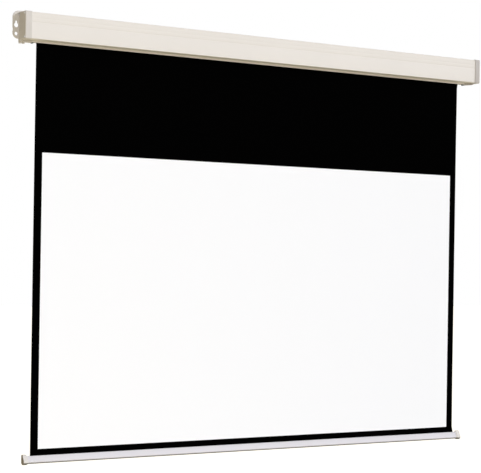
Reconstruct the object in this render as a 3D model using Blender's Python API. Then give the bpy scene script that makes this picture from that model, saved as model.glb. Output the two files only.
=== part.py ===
"""Pull down projector screen: a wall case with a spring roller, its fabric and the bar below it.

Metres, +Z up. X runs along the case to the viewer's right and the front faces -Y. The origin is the
middle of the case's back face, which lies against the wall at Y = 0. The fabric hangs fully lowered.
Cross sections are lists of (y, z) points that are pushed along X.
"""
import math

import bmesh
import bpy
from mathutils import Matrix

FIT_GAP = 0.0003            # between pieces that touch on the real screen
ROUND_SIDES = 24

FABRIC_WIDTH = 1.600
FABRIC_THICKNESS = 0.00035
FABRIC_SHIFT = -0.0066      # the lock needs more room at the right, so the fabric sits a little left
BLACK_DROP = 0.3201         # printed black above the white field, seen below the case
SIDE_BORDER = 0.025
BOTTOM_BORDER = 0.0188
WHITE_HEIGHT = 0.872

CASE_PAST_TUBE = 0.030      # at each end
CASE_DEPTH = 0.048
CASE_TOP = 0.0417           # above the origin
CASE_UNDERSIDE = -0.0368
CASE_WALL = 0.0016
CASE_CORNER = 0.002
CASE_LIP_DROP = 0.0051      # the two lips of the fabric slot stand this far below the underside
LIP_THICKNESS = 0.0016
FABRIC_TO_WALL = 0.008
LIP_TO_FABRIC = 0.0044
GROOVE_DEPTH = 0.0006
GROOVE_HALF_WIDTH = 0.0011
GROOVE_DROPS = (0.0059, 0.0173, 0.0295)     # below the case's top edge

PORT_RADIUS = 0.0032
PORT_BORE = 0.0016
PORT_INSET = 0.0029         # port axis from the inner faces of the case
PORT_MOUTH = math.radians(70)

CAP_COLLAR = 0.0203         # width of the collar that shows on the front
CAP_END_WALL = 0.004
CAP_PROUD = 0.002           # in front of the case
CAP_PROUD_TOP = 0.0016
CAP_PROUD_UNDER = 0.0016
CAP_CORNER = 0.004
CAP_END_ROUND = 0.0022      # rounding between the cap's end face and its sides
PLATE_THICKNESS = 0.004
PLATE_TOP = 0.0476
PLATE_BOTTOM = -0.0343
EAR_WIDTH = 0.0191
EAR_CORNER = 0.018
EAR_WAIST = 0.0014          # how far the outer edge dips between the two holes
EAR_HOLE_INSET = 0.0082     # hole axes from the cap's end face
KEYHOLE_RADIUS = 0.0070
KEYHOLE_Z = 0.0056
KEYHOLE_SLOT_HALF_WIDTH = 0.0036
KEYHOLE_TOP = 0.0190
LOWER_HOLE_RADIUS = 0.0053
LOWER_HOLE_Z = -0.0196
TONGUE_REACH = 0.0175       # the tongue that closes the slot's end starts this far inside the collar
TONGUE_PAST_LIP = 0.0018    # in front of the lips
LEFT_TONGUE_DROP = 0.0011   # below the lips
RIGHT_TONGUE_DROP = 0.0025
RIGHT_TONGUE_RISE = 0.0045  # the right tongue's underside rises this much towards the outer face
FOOT_SIZE = (0.006, 0.008, 0.0044)
FOOT_GAP = 0.004
FOOT_FROM_WALL = 0.001

SCREW_RADIUS = 0.0013
SCREW_HEAD_RADIUS = 0.0031
SCREW_HEAD_HEIGHT = 0.0018
CAP_SCREW_LENGTH = 0.015
BRACKET_SCREW_LENGTH = 0.0062
BRACKET_SCREW_OFFSET = 0.0145

BRACKET_THICKNESS = 0.002
BRACKET_WIDTH = 0.026
BRACKET_HEIGHT = 0.038
BRACKET_CORNER = 0.004
BRACKET_BOSS_HEIGHT = 0.0015
BRACKET_BOSS_RADIUS = 0.0034

TUBE_RADIUS = 0.014
TUBE_WALL = 0.001
TUBE_PAST_FABRIC = 0.026    # at each end, before the fabric's shift
ROLLER_Z = 0.005
WOUND_TURNS = 1.1
WOUND_GAP = 0.0003

IDLE_PLUG_LENGTH = 0.032
PLUG_FLANGE_RADIUS = 0.0149
PLUG_FLANGE_WIDTH = 0.0025
IDLE_PIN_RADIUS = 0.003
IDLE_PIN_GRIP = 0.022
BUSH_WALL = 0.0018
BUSH_FLANGE_RADIUS = 0.0072
BUSH_FLANGE_WIDTH = 0.0015

SHAFT_RADIUS = 0.002
SHAFT_LENGTH = 0.306
TONGUE_SIZE = (0.011, 0.0022, 0.0052)
CARRIER_LENGTH = 0.040
CARRIER_FLOOR = 0.018       # solid inner end of the carrier, behind the pawl chamber
CHAMBER_RADIUS = 0.0099
NOSE_RADIUS = 0.0059
NOSE_LENGTH = 0.012
COVER_WIDTH = 0.002
CLIP_RADIUS = 0.0042
CLIP_WIDTH = 0.0008
CLIP_MOUTH = math.radians(80)

RATCHET_RADIUS = 0.0052
RATCHET_WIDTH = 0.006
RATCHET_HUB_RADIUS = 0.0041
RATCHET_HUB_WIDTH = 0.005
RATCHET_INSET = 0.007       # from the tube's right end to the ratchet's outer face
NOTCH_FLOOR = 0.0030
PAWL_ARM_THICKNESS = 0.0019
PAWL_TIP_CHAMFER = 0.0004
PAWL_REACH = 0.00678        # from the pawl's tip to its pin
PAWL_BOSS_RADIUS = 0.0016
PAWL_PIN_RADIUS = 0.0008
PAWL_PIN_GRIP = 0.006
PAWL_LIFT = math.radians(22)
LOCK_ANGLE = math.radians(111)      # direction of the first notch's floor
CROSS_PIN_RADIUS = 0.0007

SPRING_TURNS = 20
SPRING_WIRE_RADIUS = 0.0008
SPRING_POINTS_PER_TURN = 9
SPRING_OVERLAP = 0.009      # length of spring on the carrier's nose and on the anchor
ANCHOR_LENGTH = 0.018
GUIDE_WIDTH = 0.010
GUIDE_INSET = 0.002         # shaft end past the guide

BAR_HEIGHT = 0.0234
BAR_TOP_RADIUS = 0.0035     # the bar is a teardrop: round and narrow on top, round and deep below
BAR_LOW_RADIUS = 0.0065
BAR_WALL = 0.0012
BAR_SLOT = 0.0022
BAR_SHIFT = 0.002           # the bar sits a little right of the fabric's middle
BAR_CAP_TOP_RADIUS = 0.0040
BAR_CAP_LOW_RADIUS = 0.0088
BAR_CAP_BACK = 0.0012       # how far the cap stands behind, above and below the bar
BAR_CAP_RISE = 0.0045
BAR_CAP_DROP = 0.0023
BAR_CAP_LENGTH = 0.0165
BAR_CAP_END_WALL = 0.003
BAR_CAP_CLEAR = 0.0094      # from the fabric's side edge
BAR_CAP_BEVEL = 0.0012
HEM_ROD_RADIUS = 0.0017

STOP_LENGTH = 0.005
STOP_DROP = 0.0028          # below the lips
STOP_FLANGE = 0.006         # over the case's floor, in front of the slot
STOP_FLANGE_THICKNESS = 0.002

CASE_LIP_Z = CASE_UNDERSIDE - CASE_LIP_DROP
TUBE_HALF = FABRIC_WIDTH / 2 + TUBE_PAST_FABRIC
CASE_HALF = TUBE_HALF + CASE_PAST_TUBE
CAP_INNER_FACE = CASE_HALF + FIT_GAP
CAP_OUTER = CAP_INNER_FACE + CAP_END_WALL
CAP_START = CAP_OUTER - CAP_COLLAR
TONGUE_START = CAP_START - TONGUE_REACH
LEFT_TONGUE_LOW = CASE_LIP_Z - LEFT_TONGUE_DROP
RIGHT_TONGUE_LOW = CASE_LIP_Z - RIGHT_TONGUE_DROP
FABRIC_Y = -FABRIC_TO_WALL
LIP_BACK_Y = FABRIC_Y - LIP_TO_FABRIC
LIP_FRONT_Y = LIP_BACK_Y - LIP_THICKNESS

WOUND_INNER = TUBE_RADIUS + WOUND_GAP + FABRIC_THICKNESS / 2
WOUND_PITCH = FABRIC_THICKNESS + WOUND_GAP
WOUND_OUTER = WOUND_INNER + WOUND_PITCH * WOUND_TURNS
ROLLER_Y = FABRIC_Y - WOUND_OUTER
TUBE_BORE = TUBE_RADIUS - TUBE_WALL
PLUG_RADIUS = TUBE_BORE - FIT_GAP

WHITE_TOP_Z = CASE_LIP_Z - BLACK_DROP
WHITE_BOTTOM_Z = WHITE_TOP_Z - WHITE_HEIGHT
BAR_TOP_Z = WHITE_BOTTOM_Z - BOTTOM_BORDER
BAR_BACK_Y = FABRIC_Y + BAR_TOP_RADIUS
BAR_LOW_Z = BAR_TOP_Z - BAR_HEIGHT
HEM_ROD_Z = BAR_TOP_Z - BAR_WALL - HEM_ROD_RADIUS - FIT_GAP
FABRIC_LOW_Z = HEM_ROD_Z + HEM_ROD_RADIUS + FIT_GAP
FABRIC_HIGH_Z = ROLLER_Z - FIT_GAP
BAR_X = FABRIC_SHIFT + BAR_SHIFT
BAR_CAP_START = FABRIC_WIDTH / 2 + BAR_SHIFT + BAR_CAP_CLEAR
BAR_HALF = BAR_CAP_START + BAR_CAP_LENGTH - BAR_CAP_END_WALL - FIT_GAP

BRACKET_OUTER = CAP_INNER_FACE - BRACKET_BOSS_HEIGHT - FIT_GAP
BRACKET_INNER = BRACKET_OUTER - BRACKET_THICKNESS
BRACKET_SCREW_ZS = (ROLLER_Z - BRACKET_SCREW_OFFSET, ROLLER_Z + BRACKET_SCREW_OFFSET)
SHAFT_OUTER = BRACKET_OUTER + FIT_GAP - TONGUE_SIZE[0]
SHAFT_INNER = SHAFT_OUTER - SHAFT_LENGTH
CARRIER_INNER = TUBE_HALF - CARRIER_LENGTH
CHAMBER_FLOOR = CARRIER_INNER + CARRIER_FLOOR
RATCHET_OUTER = TUBE_HALF - RATCHET_INSET
RATCHET_INNER = RATCHET_OUTER - RATCHET_WIDTH
PAWL_BOTTOM = NOTCH_FLOOR + FIT_GAP
PAWL_PIN_V = PAWL_BOTTOM + PAWL_ARM_THICKNESS / 2
ANCHOR_INNER = SHAFT_INNER + GUIDE_INSET + GUIDE_WIDTH + FIT_GAP
SPRING_RADIUS = NOSE_RADIUS + FIT_GAP + SPRING_WIRE_RADIUS


def clear_scene():
    """Remove what the opened file holds."""
    for thing in list(bpy.data.objects):
        bpy.data.objects.remove(thing, do_unlink=True)


def finish(name, colour, roughness, metallic=0.0):
    """Principled material, made once and shared by the pieces that have it."""
    material = bpy.data.materials.get(name)
    if material is None:
        material = bpy.data.materials.new(name)
        material.use_nodes = True
        shader = material.node_tree.nodes["Principled BSDF"]
        shader.inputs["Base Color"].default_value = (*colour, 1.0)
        shader.inputs["Roughness"].default_value = roughness
        shader.inputs["Metallic"].default_value = metallic
        material.diffuse_color = (*colour, 1.0)
    return material


def cream_paint():
    """Powder coat of the case."""
    return finish("cream_paint", (0.78, 0.76, 0.70), 0.45)


def cap_plastic():
    """Moulded ABS of the end caps."""
    return finish("cap_plastic", (0.66, 0.63, 0.60), 0.5)


def bar_paint():
    """White coat of the bottom bar."""
    return finish("bar_paint", (0.80, 0.79, 0.82), 0.35)


def bar_cap_plastic():
    """Moulded caps of the bottom bar."""
    return finish("bar_cap_plastic", (0.76, 0.73, 0.68), 0.5)


def black_rubber():
    """The retracting stop."""
    return finish("black_rubber", (0.02, 0.02, 0.02), 0.8)


def white_fabric():
    """Matt white viewing field."""
    return finish("white_fabric", (0.92, 0.92, 0.92), 0.9)


def black_border():
    """Black masking on the fabric."""
    return finish("black_border", (0.004, 0.004, 0.004), 0.85)


def bright_steel():
    """Zinc plated steel of brackets, screws and pins."""
    return finish("bright_steel", (0.62, 0.62, 0.63), 0.3, 1.0)


def spring_steel():
    """Oiled spring wire and lock parts."""
    return finish("spring_steel", (0.30, 0.30, 0.31), 0.4, 1.0)


def tube_steel():
    """Rolled roller tube."""
    return finish("tube_steel", (0.55, 0.56, 0.58), 0.35, 1.0)


def nylon():
    """White nylon plugs and bushes."""
    return finish("nylon", (0.85, 0.84, 0.80), 0.4)


def arc(centre, radius, start, end, steps):
    """Points on a round stretch from one angle to another, in degrees."""
    points = []
    for index in range(steps + 1):
        angle = math.radians(start + (end - start) * index / steps)
        points.append((centre[0] + radius * math.cos(angle), centre[1] + radius * math.sin(angle)))
    return points


def rectangle(low, high):
    """Four corners from the lowest to the highest."""
    return [(low[0], low[1]), (high[0], low[1]), (high[0], high[1]), (low[0], high[1])]


class Teardrop:
    """Two round ends that share an upright tangent at the back; the front tangent leans forward."""

    def __init__(self, back, low, high, low_radius, top_radius):
        self.low = (back - low_radius, low + low_radius)
        self.top = (back - top_radius, high - top_radius)
        self.low_radius = low_radius
        self.top_radius = top_radius
        rise = self.top[1] - self.low[1]
        lean = math.degrees(math.atan2(low_radius - top_radius, rise))
        self.front = 180 - 2 * lean

    def outline(self, grow=0.0):
        """Closed outline, moved out by grow."""
        top = arc(self.top, self.top_radius + grow, 0, self.front, 8)
        return top + arc(self.low, self.low_radius + grow, self.front, 360, 12)

    def open_outline(self, slot, grow=0.0):
        """Outline from the slot's front edge, round the front and the bottom, to its rear edge."""
        top_radius = self.top_radius + grow
        half = math.degrees(math.asin(slot / 2 / top_radius))
        points = arc(self.top, top_radius, 90 + half, self.front, 4)
        points += arc(self.low, self.low_radius + grow, self.front, 360, 12)
        return points + arc(self.top, top_radius, 0, 90 - half, 5)


def link(name, bm, material, sharp=30):
    """Object of a mesh, shaded smooth up to the sharp angle."""
    bmesh.ops.remove_doubles(bm, verts=bm.verts, dist=1e-7)
    bmesh.ops.recalc_face_normals(bm, faces=bm.faces)
    mesh = bpy.data.meshes.new(name)
    bm.to_mesh(mesh)
    bm.free()
    mesh.shade_smooth()
    mesh.set_sharp_from_angle(angle=math.radians(sharp))
    thing = bpy.data.objects.new(name, mesh)
    bpy.context.scene.collection.objects.link(thing)
    if material is not None:
        mesh.materials.append(material)
    return thing


def pushed(outline, low, high, place):
    """Mesh of an outline pushed from low to high, with place giving the 3-D point."""
    bm = bmesh.new()
    first = [bm.verts.new(place(a, b, low)) for a, b in outline]
    face = bm.faces.new(first)
    moved = bmesh.ops.extrude_face_region(bm, geom=[face])
    offset = [b - a for a, b in zip(place(0, 0, low), place(0, 0, high))]
    verts = [item for item in moved["geom"] if isinstance(item, bmesh.types.BMVert)]
    bmesh.ops.translate(bm, verts=verts, vec=offset)
    return bm


def prism(name, outline, x_low, x_high, material=None):
    """A (y, z) outline pushed along X."""
    return link(name, pushed(outline, x_low, x_high, lambda y, z, x: (x, y, z)), material)


def plate(name, outline, y_low, y_high, material=None):
    """An (x, z) outline pushed along Y."""
    return link(name, pushed(outline, y_low, y_high, lambda x, z, y: (x, y, z)), material)


def block(name, low, high, material=None):
    """Box from its lowest to its highest corner."""
    return prism(name, rectangle(low[1:], high[1:]), low[0], high[0], material)


def turned(name, profile, axis_y, axis_z, material=None, sides=ROUND_SIDES):
    """Closed (x, radius) profile spun about a line along X."""
    bm = bmesh.new()
    verts = [bm.verts.new((x, axis_y + radius, axis_z)) for x, radius in profile]
    edges = []
    for index, vert in enumerate(verts):
        following = verts[(index + 1) % len(verts)]
        both_on_axis = profile[index][1] == 0 and profile[(index + 1) % len(verts)][1] == 0
        if not both_on_axis:
            edges.append(bm.edges.new((vert, following)))
    bmesh.ops.spin(
        bm,
        geom=verts + edges,
        cent=(0, axis_y, axis_z),
        axis=(1, 0, 0),
        angle=math.tau,
        steps=sides,
        use_merge=False,
    )
    bmesh.ops.remove_doubles(bm, verts=bm.verts, dist=1e-6)
    return link(name, bm, material)


def rod(name, radius, x_low, x_high, axis_y, axis_z, material=None, sides=ROUND_SIDES):
    """Plain cylinder along X."""
    profile = [(x_low, 0), (x_low, radius), (x_high, radius), (x_high, 0)]
    return turned(name, profile, axis_y, axis_z, material, sides)


def ring(name, bore, radius, x_low, x_high, material=None, sides=ROUND_SIDES):
    """Ring around the roller's axis."""
    profile = [(x_low, bore), (x_low, radius), (x_high, radius), (x_high, bore)]
    return turned(name, profile, ROLLER_Y, ROLLER_Z, material, sides)


def helper(thing):
    """Mark a shape that only cuts or joins."""
    thing.hide_render = True
    thing.display_type = 'WIRE'
    return thing


def gathered(others):
    """One shape of several that don't touch each other."""
    bm = bmesh.new()
    for other in others:
        bm.from_mesh(other.data)
    first = others[0]
    bm.to_mesh(first.data)
    bm.free()
    for other in others[1:]:
        bpy.data.objects.remove(other, do_unlink=True)
    return first


def combine(thing, operation, others):
    """Boolean modifier that cuts the others away, or joins them on."""
    other = helper(gathered(others))
    modifier = thing.modifiers.new(operation.lower() + "_" + other.name, 'BOOLEAN')
    modifier.operation = operation
    modifier.solver = 'EXACT'
    modifier.object = other
    return thing


def span(side, near, far):
    """Lowest and highest x of a stretch given by its distances from the middle."""
    return sorted((side * near, side * far))


def side_name(side):
    """Word for one end of the case."""
    return "left" if side < 0 else "right"


def groove_points():
    """Shallow V grooves down the case's front, from the top groove to the lowest."""
    points = []
    front = -CASE_DEPTH
    for drop in GROOVE_DROPS:
        middle = CASE_TOP - drop
        points.append((front, middle + GROOVE_HALF_WIDTH))
        points.append((front + GROOVE_DEPTH, middle))
        points.append((front, middle - GROOVE_HALF_WIDTH))
    return points


def case_outline():
    """Open box section with a slot at the rear of its underside, as one closed outline."""
    front = -CASE_DEPTH
    inner_corner = CASE_CORNER - CASE_WALL
    outline = [(0, CASE_LIP_Z), (0, CASE_TOP)]
    outline += arc((front + CASE_CORNER, CASE_TOP - CASE_CORNER), CASE_CORNER, 90, 180, 6)
    outline += groove_points()
    outline += arc((front + CASE_CORNER, CASE_UNDERSIDE + CASE_CORNER), CASE_CORNER, 180, 270, 6)
    outline += [(LIP_FRONT_Y, CASE_UNDERSIDE), (LIP_FRONT_Y, CASE_LIP_Z), (LIP_BACK_Y, CASE_LIP_Z)]
    outline += [(LIP_BACK_Y, CASE_UNDERSIDE + CASE_WALL)]
    outline += arc((front + CASE_CORNER, CASE_UNDERSIDE + CASE_CORNER), inner_corner, 270, 180, 4)
    outline += arc((front + CASE_CORNER, CASE_TOP - CASE_CORNER), inner_corner, 180, 90, 4)
    outline += [(-CASE_WALL, CASE_TOP - CASE_WALL), (-CASE_WALL, CASE_LIP_Z)]
    return outline


def port_places():
    """Axis (y, z) of each screw port and the direction in degrees in which its mouth opens."""
    front = -CASE_DEPTH + CASE_WALL + PORT_INSET
    back = -CASE_WALL - PORT_INSET
    top = CASE_TOP - CASE_WALL - PORT_INSET
    bottom = CASE_UNDERSIDE + CASE_WALL + PORT_INSET
    return [((front, top), -45), ((back, top), -135), ((front, bottom), 45)]


def port_outline(centre, direction):
    """Split ring that a thread forming screw bites into."""
    half = math.degrees(PORT_MOUTH) / 2
    outer = arc(centre, PORT_RADIUS, direction + half, direction + 360 - half, 18)
    inner = arc(centre, PORT_BORE, direction + 360 - half, direction + half, 18)
    return outer + inner


def lip_cut(side):
    """Stretch at one end where the lips are sawn off for the cap's tongue."""
    low_x, high_x = span(side, TONGUE_START - FIT_GAP, CASE_HALF + CAP_END_WALL)
    low = (low_x, LIP_FRONT_Y - FIT_GAP, CASE_LIP_Z - CASE_LIP_DROP)
    high = (high_x, CASE_WALL, CASE_UNDERSIDE)
    return block(f"{side_name(side)}_lip_cut", low, high)


def build_case():
    """Extruded case with its three screw ports, and lips that end short of the caps."""
    case = prism("case_extrusion", case_outline(), -CASE_HALF, CASE_HALF, cream_paint())
    ports = []
    for index, (centre, direction) in enumerate(port_places(), 1):
        outline = port_outline(centre, direction)
        ports.append(prism(f"port_{index}", outline, -CASE_HALF, CASE_HALF))
    combine(case, 'UNION', ports)
    return combine(case, 'DIFFERENCE', [lip_cut(-1), lip_cut(1)])


def cap_outline():
    """Side view of an end cap, with the raised edge of its mounting plate."""
    front = -CASE_DEPTH - CAP_PROUD
    top = CASE_TOP + CAP_PROUD_TOP
    under = CASE_UNDERSIDE - CAP_PROUD_UNDER
    outline = [(0, under), (0, PLATE_TOP), (-PLATE_THICKNESS, PLATE_TOP), (-PLATE_THICKNESS, top)]
    outline += arc((front + CAP_CORNER, top - CAP_CORNER), CAP_CORNER, 90, 180, 6)
    outline += arc((front + CAP_CORNER, under + CAP_CORNER), CAP_CORNER, 180, 270, 6)
    return outline


def cap_pocket_outline():
    """The case's own section with its fit gap, open through the wall side."""
    front = -CASE_DEPTH - FIT_GAP
    beyond = CASE_DEPTH
    under = CASE_UNDERSIDE - FIT_GAP
    outline = [(beyond, under), (beyond, CASE_TOP + FIT_GAP)]
    outline += arc((front + CASE_CORNER, CASE_TOP + FIT_GAP - CASE_CORNER), CASE_CORNER, 90, 180, 6)
    outline += arc((front + CASE_CORNER, under + CASE_CORNER), CASE_CORNER, 180, 270, 6)
    return outline


def ear_outline(side):
    """Mounting ear beside the cap: rounded outer corners and a slight waist between the holes."""
    inner = CAP_OUTER - CAP_END_WALL / 2
    outer = CAP_OUTER + EAR_WIDTH
    corner = outer - EAR_CORNER
    waist_z = (KEYHOLE_Z - KEYHOLE_RADIUS + LOWER_HOLE_Z + LOWER_HOLE_RADIUS) / 2
    half_height = waist_z - PLATE_BOTTOM - EAR_CORNER
    points = [(inner, PLATE_BOTTOM)]
    points += arc((corner, PLATE_BOTTOM + EAR_CORNER), EAR_CORNER, 270, 360, 8)
    for index in range(1, 10):
        along = index / 5 - 1
        depth = EAR_WAIST * (1 + math.cos(math.pi * along)) / 2
        points.append((outer - depth, waist_z + along * half_height))
    points += arc((corner, PLATE_TOP - EAR_CORNER), EAR_CORNER, 0, 90, 8)
    points += [(inner, PLATE_TOP)]
    return [(side * x, z) for x, z in points]


def keyhole_outline(side):
    """Round entry with a narrow slot above it."""
    x = side * (CAP_OUTER + EAR_HOLE_INSET)
    half = KEYHOLE_SLOT_HALF_WIDTH
    meet = math.degrees(math.acos(half / KEYHOLE_RADIUS))
    round_part = arc((x, KEYHOLE_Z), KEYHOLE_RADIUS, 180 - meet, 360 + meet, 22)
    slot_end = arc((x, KEYHOLE_TOP - half), half, 0, 180, 8)
    return round_part + slot_end


def lower_hole_outline(side):
    """Plain hole for the lower wall screw."""
    x = side * (CAP_OUTER + EAR_HOLE_INSET)
    return arc((x, LOWER_HOLE_Z), LOWER_HOLE_RADIUS, 0, 345, 23)


def cap_tongue(side):
    """Tongue that takes the place of the lips below the case's end, level or rising outward."""
    low = LEFT_TONGUE_LOW if side < 0 else RIGHT_TONGUE_LOW
    end = LEFT_TONGUE_LOW if side < 0 else RIGHT_TONGUE_LOW + RIGHT_TONGUE_RISE
    under = CASE_UNDERSIDE - FIT_GAP
    outer = CAP_OUTER - FIT_GAP
    outline = [(TONGUE_START, low), (TONGUE_START, under), (outer, under), (outer, end)]
    outline = [(side * x, z) for x, z in outline]
    return plate(f"{side_name(side)}_tongue", outline, LIP_FRONT_Y - TONGUE_PAST_LIP, 0)


def cap_foot(number):
    """Small moulded foot under the left end cap."""
    width, depth, drop = FOOT_SIZE
    far = CAP_OUTER - (number - 1) * (width + FOOT_GAP) - 2 * FIT_GAP
    low_x, high_x = span(-1, far - width, far)
    low = (low_x, -FOOT_FROM_WALL - depth, LEFT_TONGUE_LOW - drop)
    high = (high_x, -FOOT_FROM_WALL, LEFT_TONGUE_LOW + FIT_GAP)
    return block(f"foot_{number}", low, high)


def cap_screw_holes(side):
    """Counterbored holes over the case's screw ports."""
    holes = []
    shoulder = CAP_OUTER - SCREW_HEAD_HEIGHT - FIT_GAP
    low, high = CAP_START, CAP_OUTER + CAP_END_WALL
    clear = SCREW_RADIUS + FIT_GAP
    sunk = SCREW_HEAD_RADIUS + FIT_GAP
    for index, ((y, z), _direction) in enumerate(port_places(), 1):
        profile = [(low, 0), (low, clear), (shoulder, clear), (shoulder, sunk), (high, sunk), (high, 0)]
        profile = [(side * x, radius) for x, radius in profile]
        holes.append(turned(f"{side_name(side)}_cap_hole_{index}", profile, y, z, sides=18))
    return holes


def bracket_bosses(side):
    """Bosses that hold the inner bracket off the cap's wall, and their pilot holes."""
    bosses = []
    pilots = []
    tip = CAP_INNER_FACE - BRACKET_BOSS_HEIGHT
    root = CAP_INNER_FACE + CAP_END_WALL / 4
    bottom = bracket_screw_head() + BRACKET_SCREW_LENGTH + FIT_GAP
    for index, z in enumerate(BRACKET_SCREW_ZS, 1):
        name = f"{side_name(side)}_boss_{index}"
        low, high = span(side, tip, root)
        bosses.append(rod(name, BRACKET_BOSS_RADIUS, low, high, ROLLER_Y, z, sides=18))
        low, high = span(side, tip - CAP_END_WALL, bottom)
        radius = SCREW_RADIUS + FIT_GAP
        pilots.append(rod(f"{name}_pilot", radius, low, high, ROLLER_Y, z, sides=14))
    return bosses, pilots


def round_end_face(cap, side):
    """Round the edges of a cap's end face in front of its mounting plate."""
    bm = bmesh.new()
    bm.from_mesh(cap.data)
    edges = []
    for edge in bm.edges:
        on_face = all(abs(vert.co.x - side * CAP_OUTER) < FIT_GAP for vert in edge.verts)
        foremost = min(vert.co.y for vert in edge.verts)
        if on_face and foremost < -PLATE_THICKNESS - FIT_GAP:
            edges.append(edge)
    bmesh.ops.bevel(
        bm,
        geom=edges,
        offset=CAP_END_ROUND,
        offset_type='OFFSET',
        segments=3,
        profile=0.5,
        affect='EDGES',
        clamp_overlap=True,
    )
    bm.to_mesh(cap.data)
    bm.free()


def build_end_cap(side):
    """Moulded end cap with its collar, mounting ear, tongue and bracket bosses; two feet at the left."""
    name = side_name(side)
    low, high = span(side, CAP_START, CAP_OUTER)
    cap = prism(f"{name}_end_cap", cap_outline(), low, high, cap_plastic())
    round_end_face(cap, side)
    ear = plate(f"{name}_ear", ear_outline(side), -PLATE_THICKNESS, 0)
    low, high = span(side, CAP_START - CAP_COLLAR, CAP_INNER_FACE)
    pocket = prism(f"{name}_pocket", cap_pocket_outline(), low, high)
    reach = PLATE_THICKNESS * 2
    keyhole = plate(f"{name}_keyhole", keyhole_outline(side), -reach, reach)
    lower = plate(f"{name}_lower_hole", lower_hole_outline(side), -reach, reach)
    bosses, pilots = bracket_bosses(side)
    combine(cap, 'UNION', [ear])
    combine(cap, 'DIFFERENCE', [pocket, keyhole, lower])
    combine(cap, 'UNION', [cap_tongue(side)])
    if side < 0:
        combine(cap, 'UNION', [cap_foot(1), cap_foot(2)])
    combine(cap, 'UNION', bosses)
    combine(cap, 'DIFFERENCE', pilots + cap_screw_holes(side))
    return cap


def screw_profile(head_face, tip, side):
    """Pan head and shank along the axis, from the head's crown to the shank's point."""
    inward = math.copysign(1, tip - head_face)
    neck = head_face + inward * SCREW_HEAD_HEIGHT
    crown = head_face + inward * SCREW_HEAD_HEIGHT / 3
    cone = tip - inward * SCREW_RADIUS
    profile = [(head_face, 0), (head_face, SCREW_HEAD_RADIUS * 0.7), (crown, SCREW_HEAD_RADIUS)]
    profile += [(neck, SCREW_HEAD_RADIUS), (neck, SCREW_RADIUS), (cone, SCREW_RADIUS), (tip, 0)]
    return [(side * x, radius) for x, radius in profile]


def build_cap_screws(side):
    """Three screws through each end cap into the case's ports."""
    head_face = CAP_OUTER - FIT_GAP / 2
    tip = head_face - CAP_SCREW_LENGTH
    for index, ((y, z), _direction) in enumerate(port_places(), 1):
        profile = screw_profile(head_face, tip, side)
        turned(f"{side_name(side)}_cap_screw_{index}", profile, y, z, bright_steel(), 20)


def bracket_screw_head():
    """Distance from the middle of the inner face of a bracket screw's head."""
    return BRACKET_INNER - FIT_GAP - SCREW_HEAD_HEIGHT


def build_bracket_screws(side):
    """Two screws that hold each inner bracket on its bosses."""
    head_face = bracket_screw_head()
    tip = head_face + BRACKET_SCREW_LENGTH
    for index, z in enumerate(BRACKET_SCREW_ZS, 1):
        profile = screw_profile(head_face, tip, side)
        turned(f"{side_name(side)}_bracket_screw_{index}", profile, ROLLER_Y, z, bright_steel(), 20)


def bracket_blank(side):
    """Steel plate with rounded corners and its two screw holes."""
    half_y = BRACKET_WIDTH / 2
    half_z = BRACKET_HEIGHT / 2
    outline = []
    for turn, (sign_y, sign_z) in enumerate(((1, 1), (-1, 1), (-1, -1), (1, -1))):
        centre = (
            ROLLER_Y + sign_y * (half_y - BRACKET_CORNER),
            ROLLER_Z + sign_z * (half_z - BRACKET_CORNER),
        )
        outline += arc(centre, BRACKET_CORNER, 90 * turn, 90 * turn + 90, 4)
    low, high = span(side, BRACKET_INNER, BRACKET_OUTER)
    name = "idle_bracket" if side < 0 else "spring_bracket"
    bracket = prism(name, outline, low, high, bright_steel())
    holes = []
    for index, z in enumerate(BRACKET_SCREW_ZS, 1):
        radius = SCREW_RADIUS + FIT_GAP
        reach_low, reach_high = low - BRACKET_THICKNESS, high + BRACKET_THICKNESS
        holes.append(rod(f"{name}_hole_{index}", radius, reach_low, reach_high, ROLLER_Y, z, sides=16))
    return combine(bracket, 'DIFFERENCE', holes)


def build_spring_bracket():
    """Right bracket, whose slot stops the shaft from turning."""
    bracket = bracket_blank(1)
    half_y = TONGUE_SIZE[1] / 2 + FIT_GAP
    half_z = TONGUE_SIZE[2] / 2 + FIT_GAP
    low = (BRACKET_INNER - BRACKET_THICKNESS, ROLLER_Y - half_y, ROLLER_Z - half_z)
    high = (BRACKET_OUTER + BRACKET_THICKNESS, ROLLER_Y + half_y, ROLLER_Z + half_z)
    return combine(bracket, 'DIFFERENCE', [block("tongue_slot", low, high)])


def build_idle_bracket():
    """Left bracket with the seat of the bush."""
    bracket = bracket_blank(-1)
    seat = IDLE_PIN_RADIUS + 2 * FIT_GAP + BUSH_WALL
    low, high = span(-1, BRACKET_INNER - BRACKET_THICKNESS, BRACKET_OUTER + BRACKET_THICKNESS)
    return combine(bracket, 'DIFFERENCE', [rod("bush_seat", seat, low, high, ROLLER_Y, ROLLER_Z)])


def build_idle_bush():
    """Flanged nylon bush in the idle bracket."""
    bore = IDLE_PIN_RADIUS + FIT_GAP
    outer = bore + BUSH_WALL
    flange = BRACKET_INNER - FIT_GAP
    start = flange - BUSH_FLANGE_WIDTH
    profile = [(start, bore), (start, BUSH_FLANGE_RADIUS), (flange, BUSH_FLANGE_RADIUS)]
    profile += [(flange, outer), (BRACKET_OUTER, outer), (BRACKET_OUTER, bore)]
    profile = [(-x, radius) for x, radius in profile]
    return turned("idle_bush", profile, ROLLER_Y, ROLLER_Z, nylon())


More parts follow.
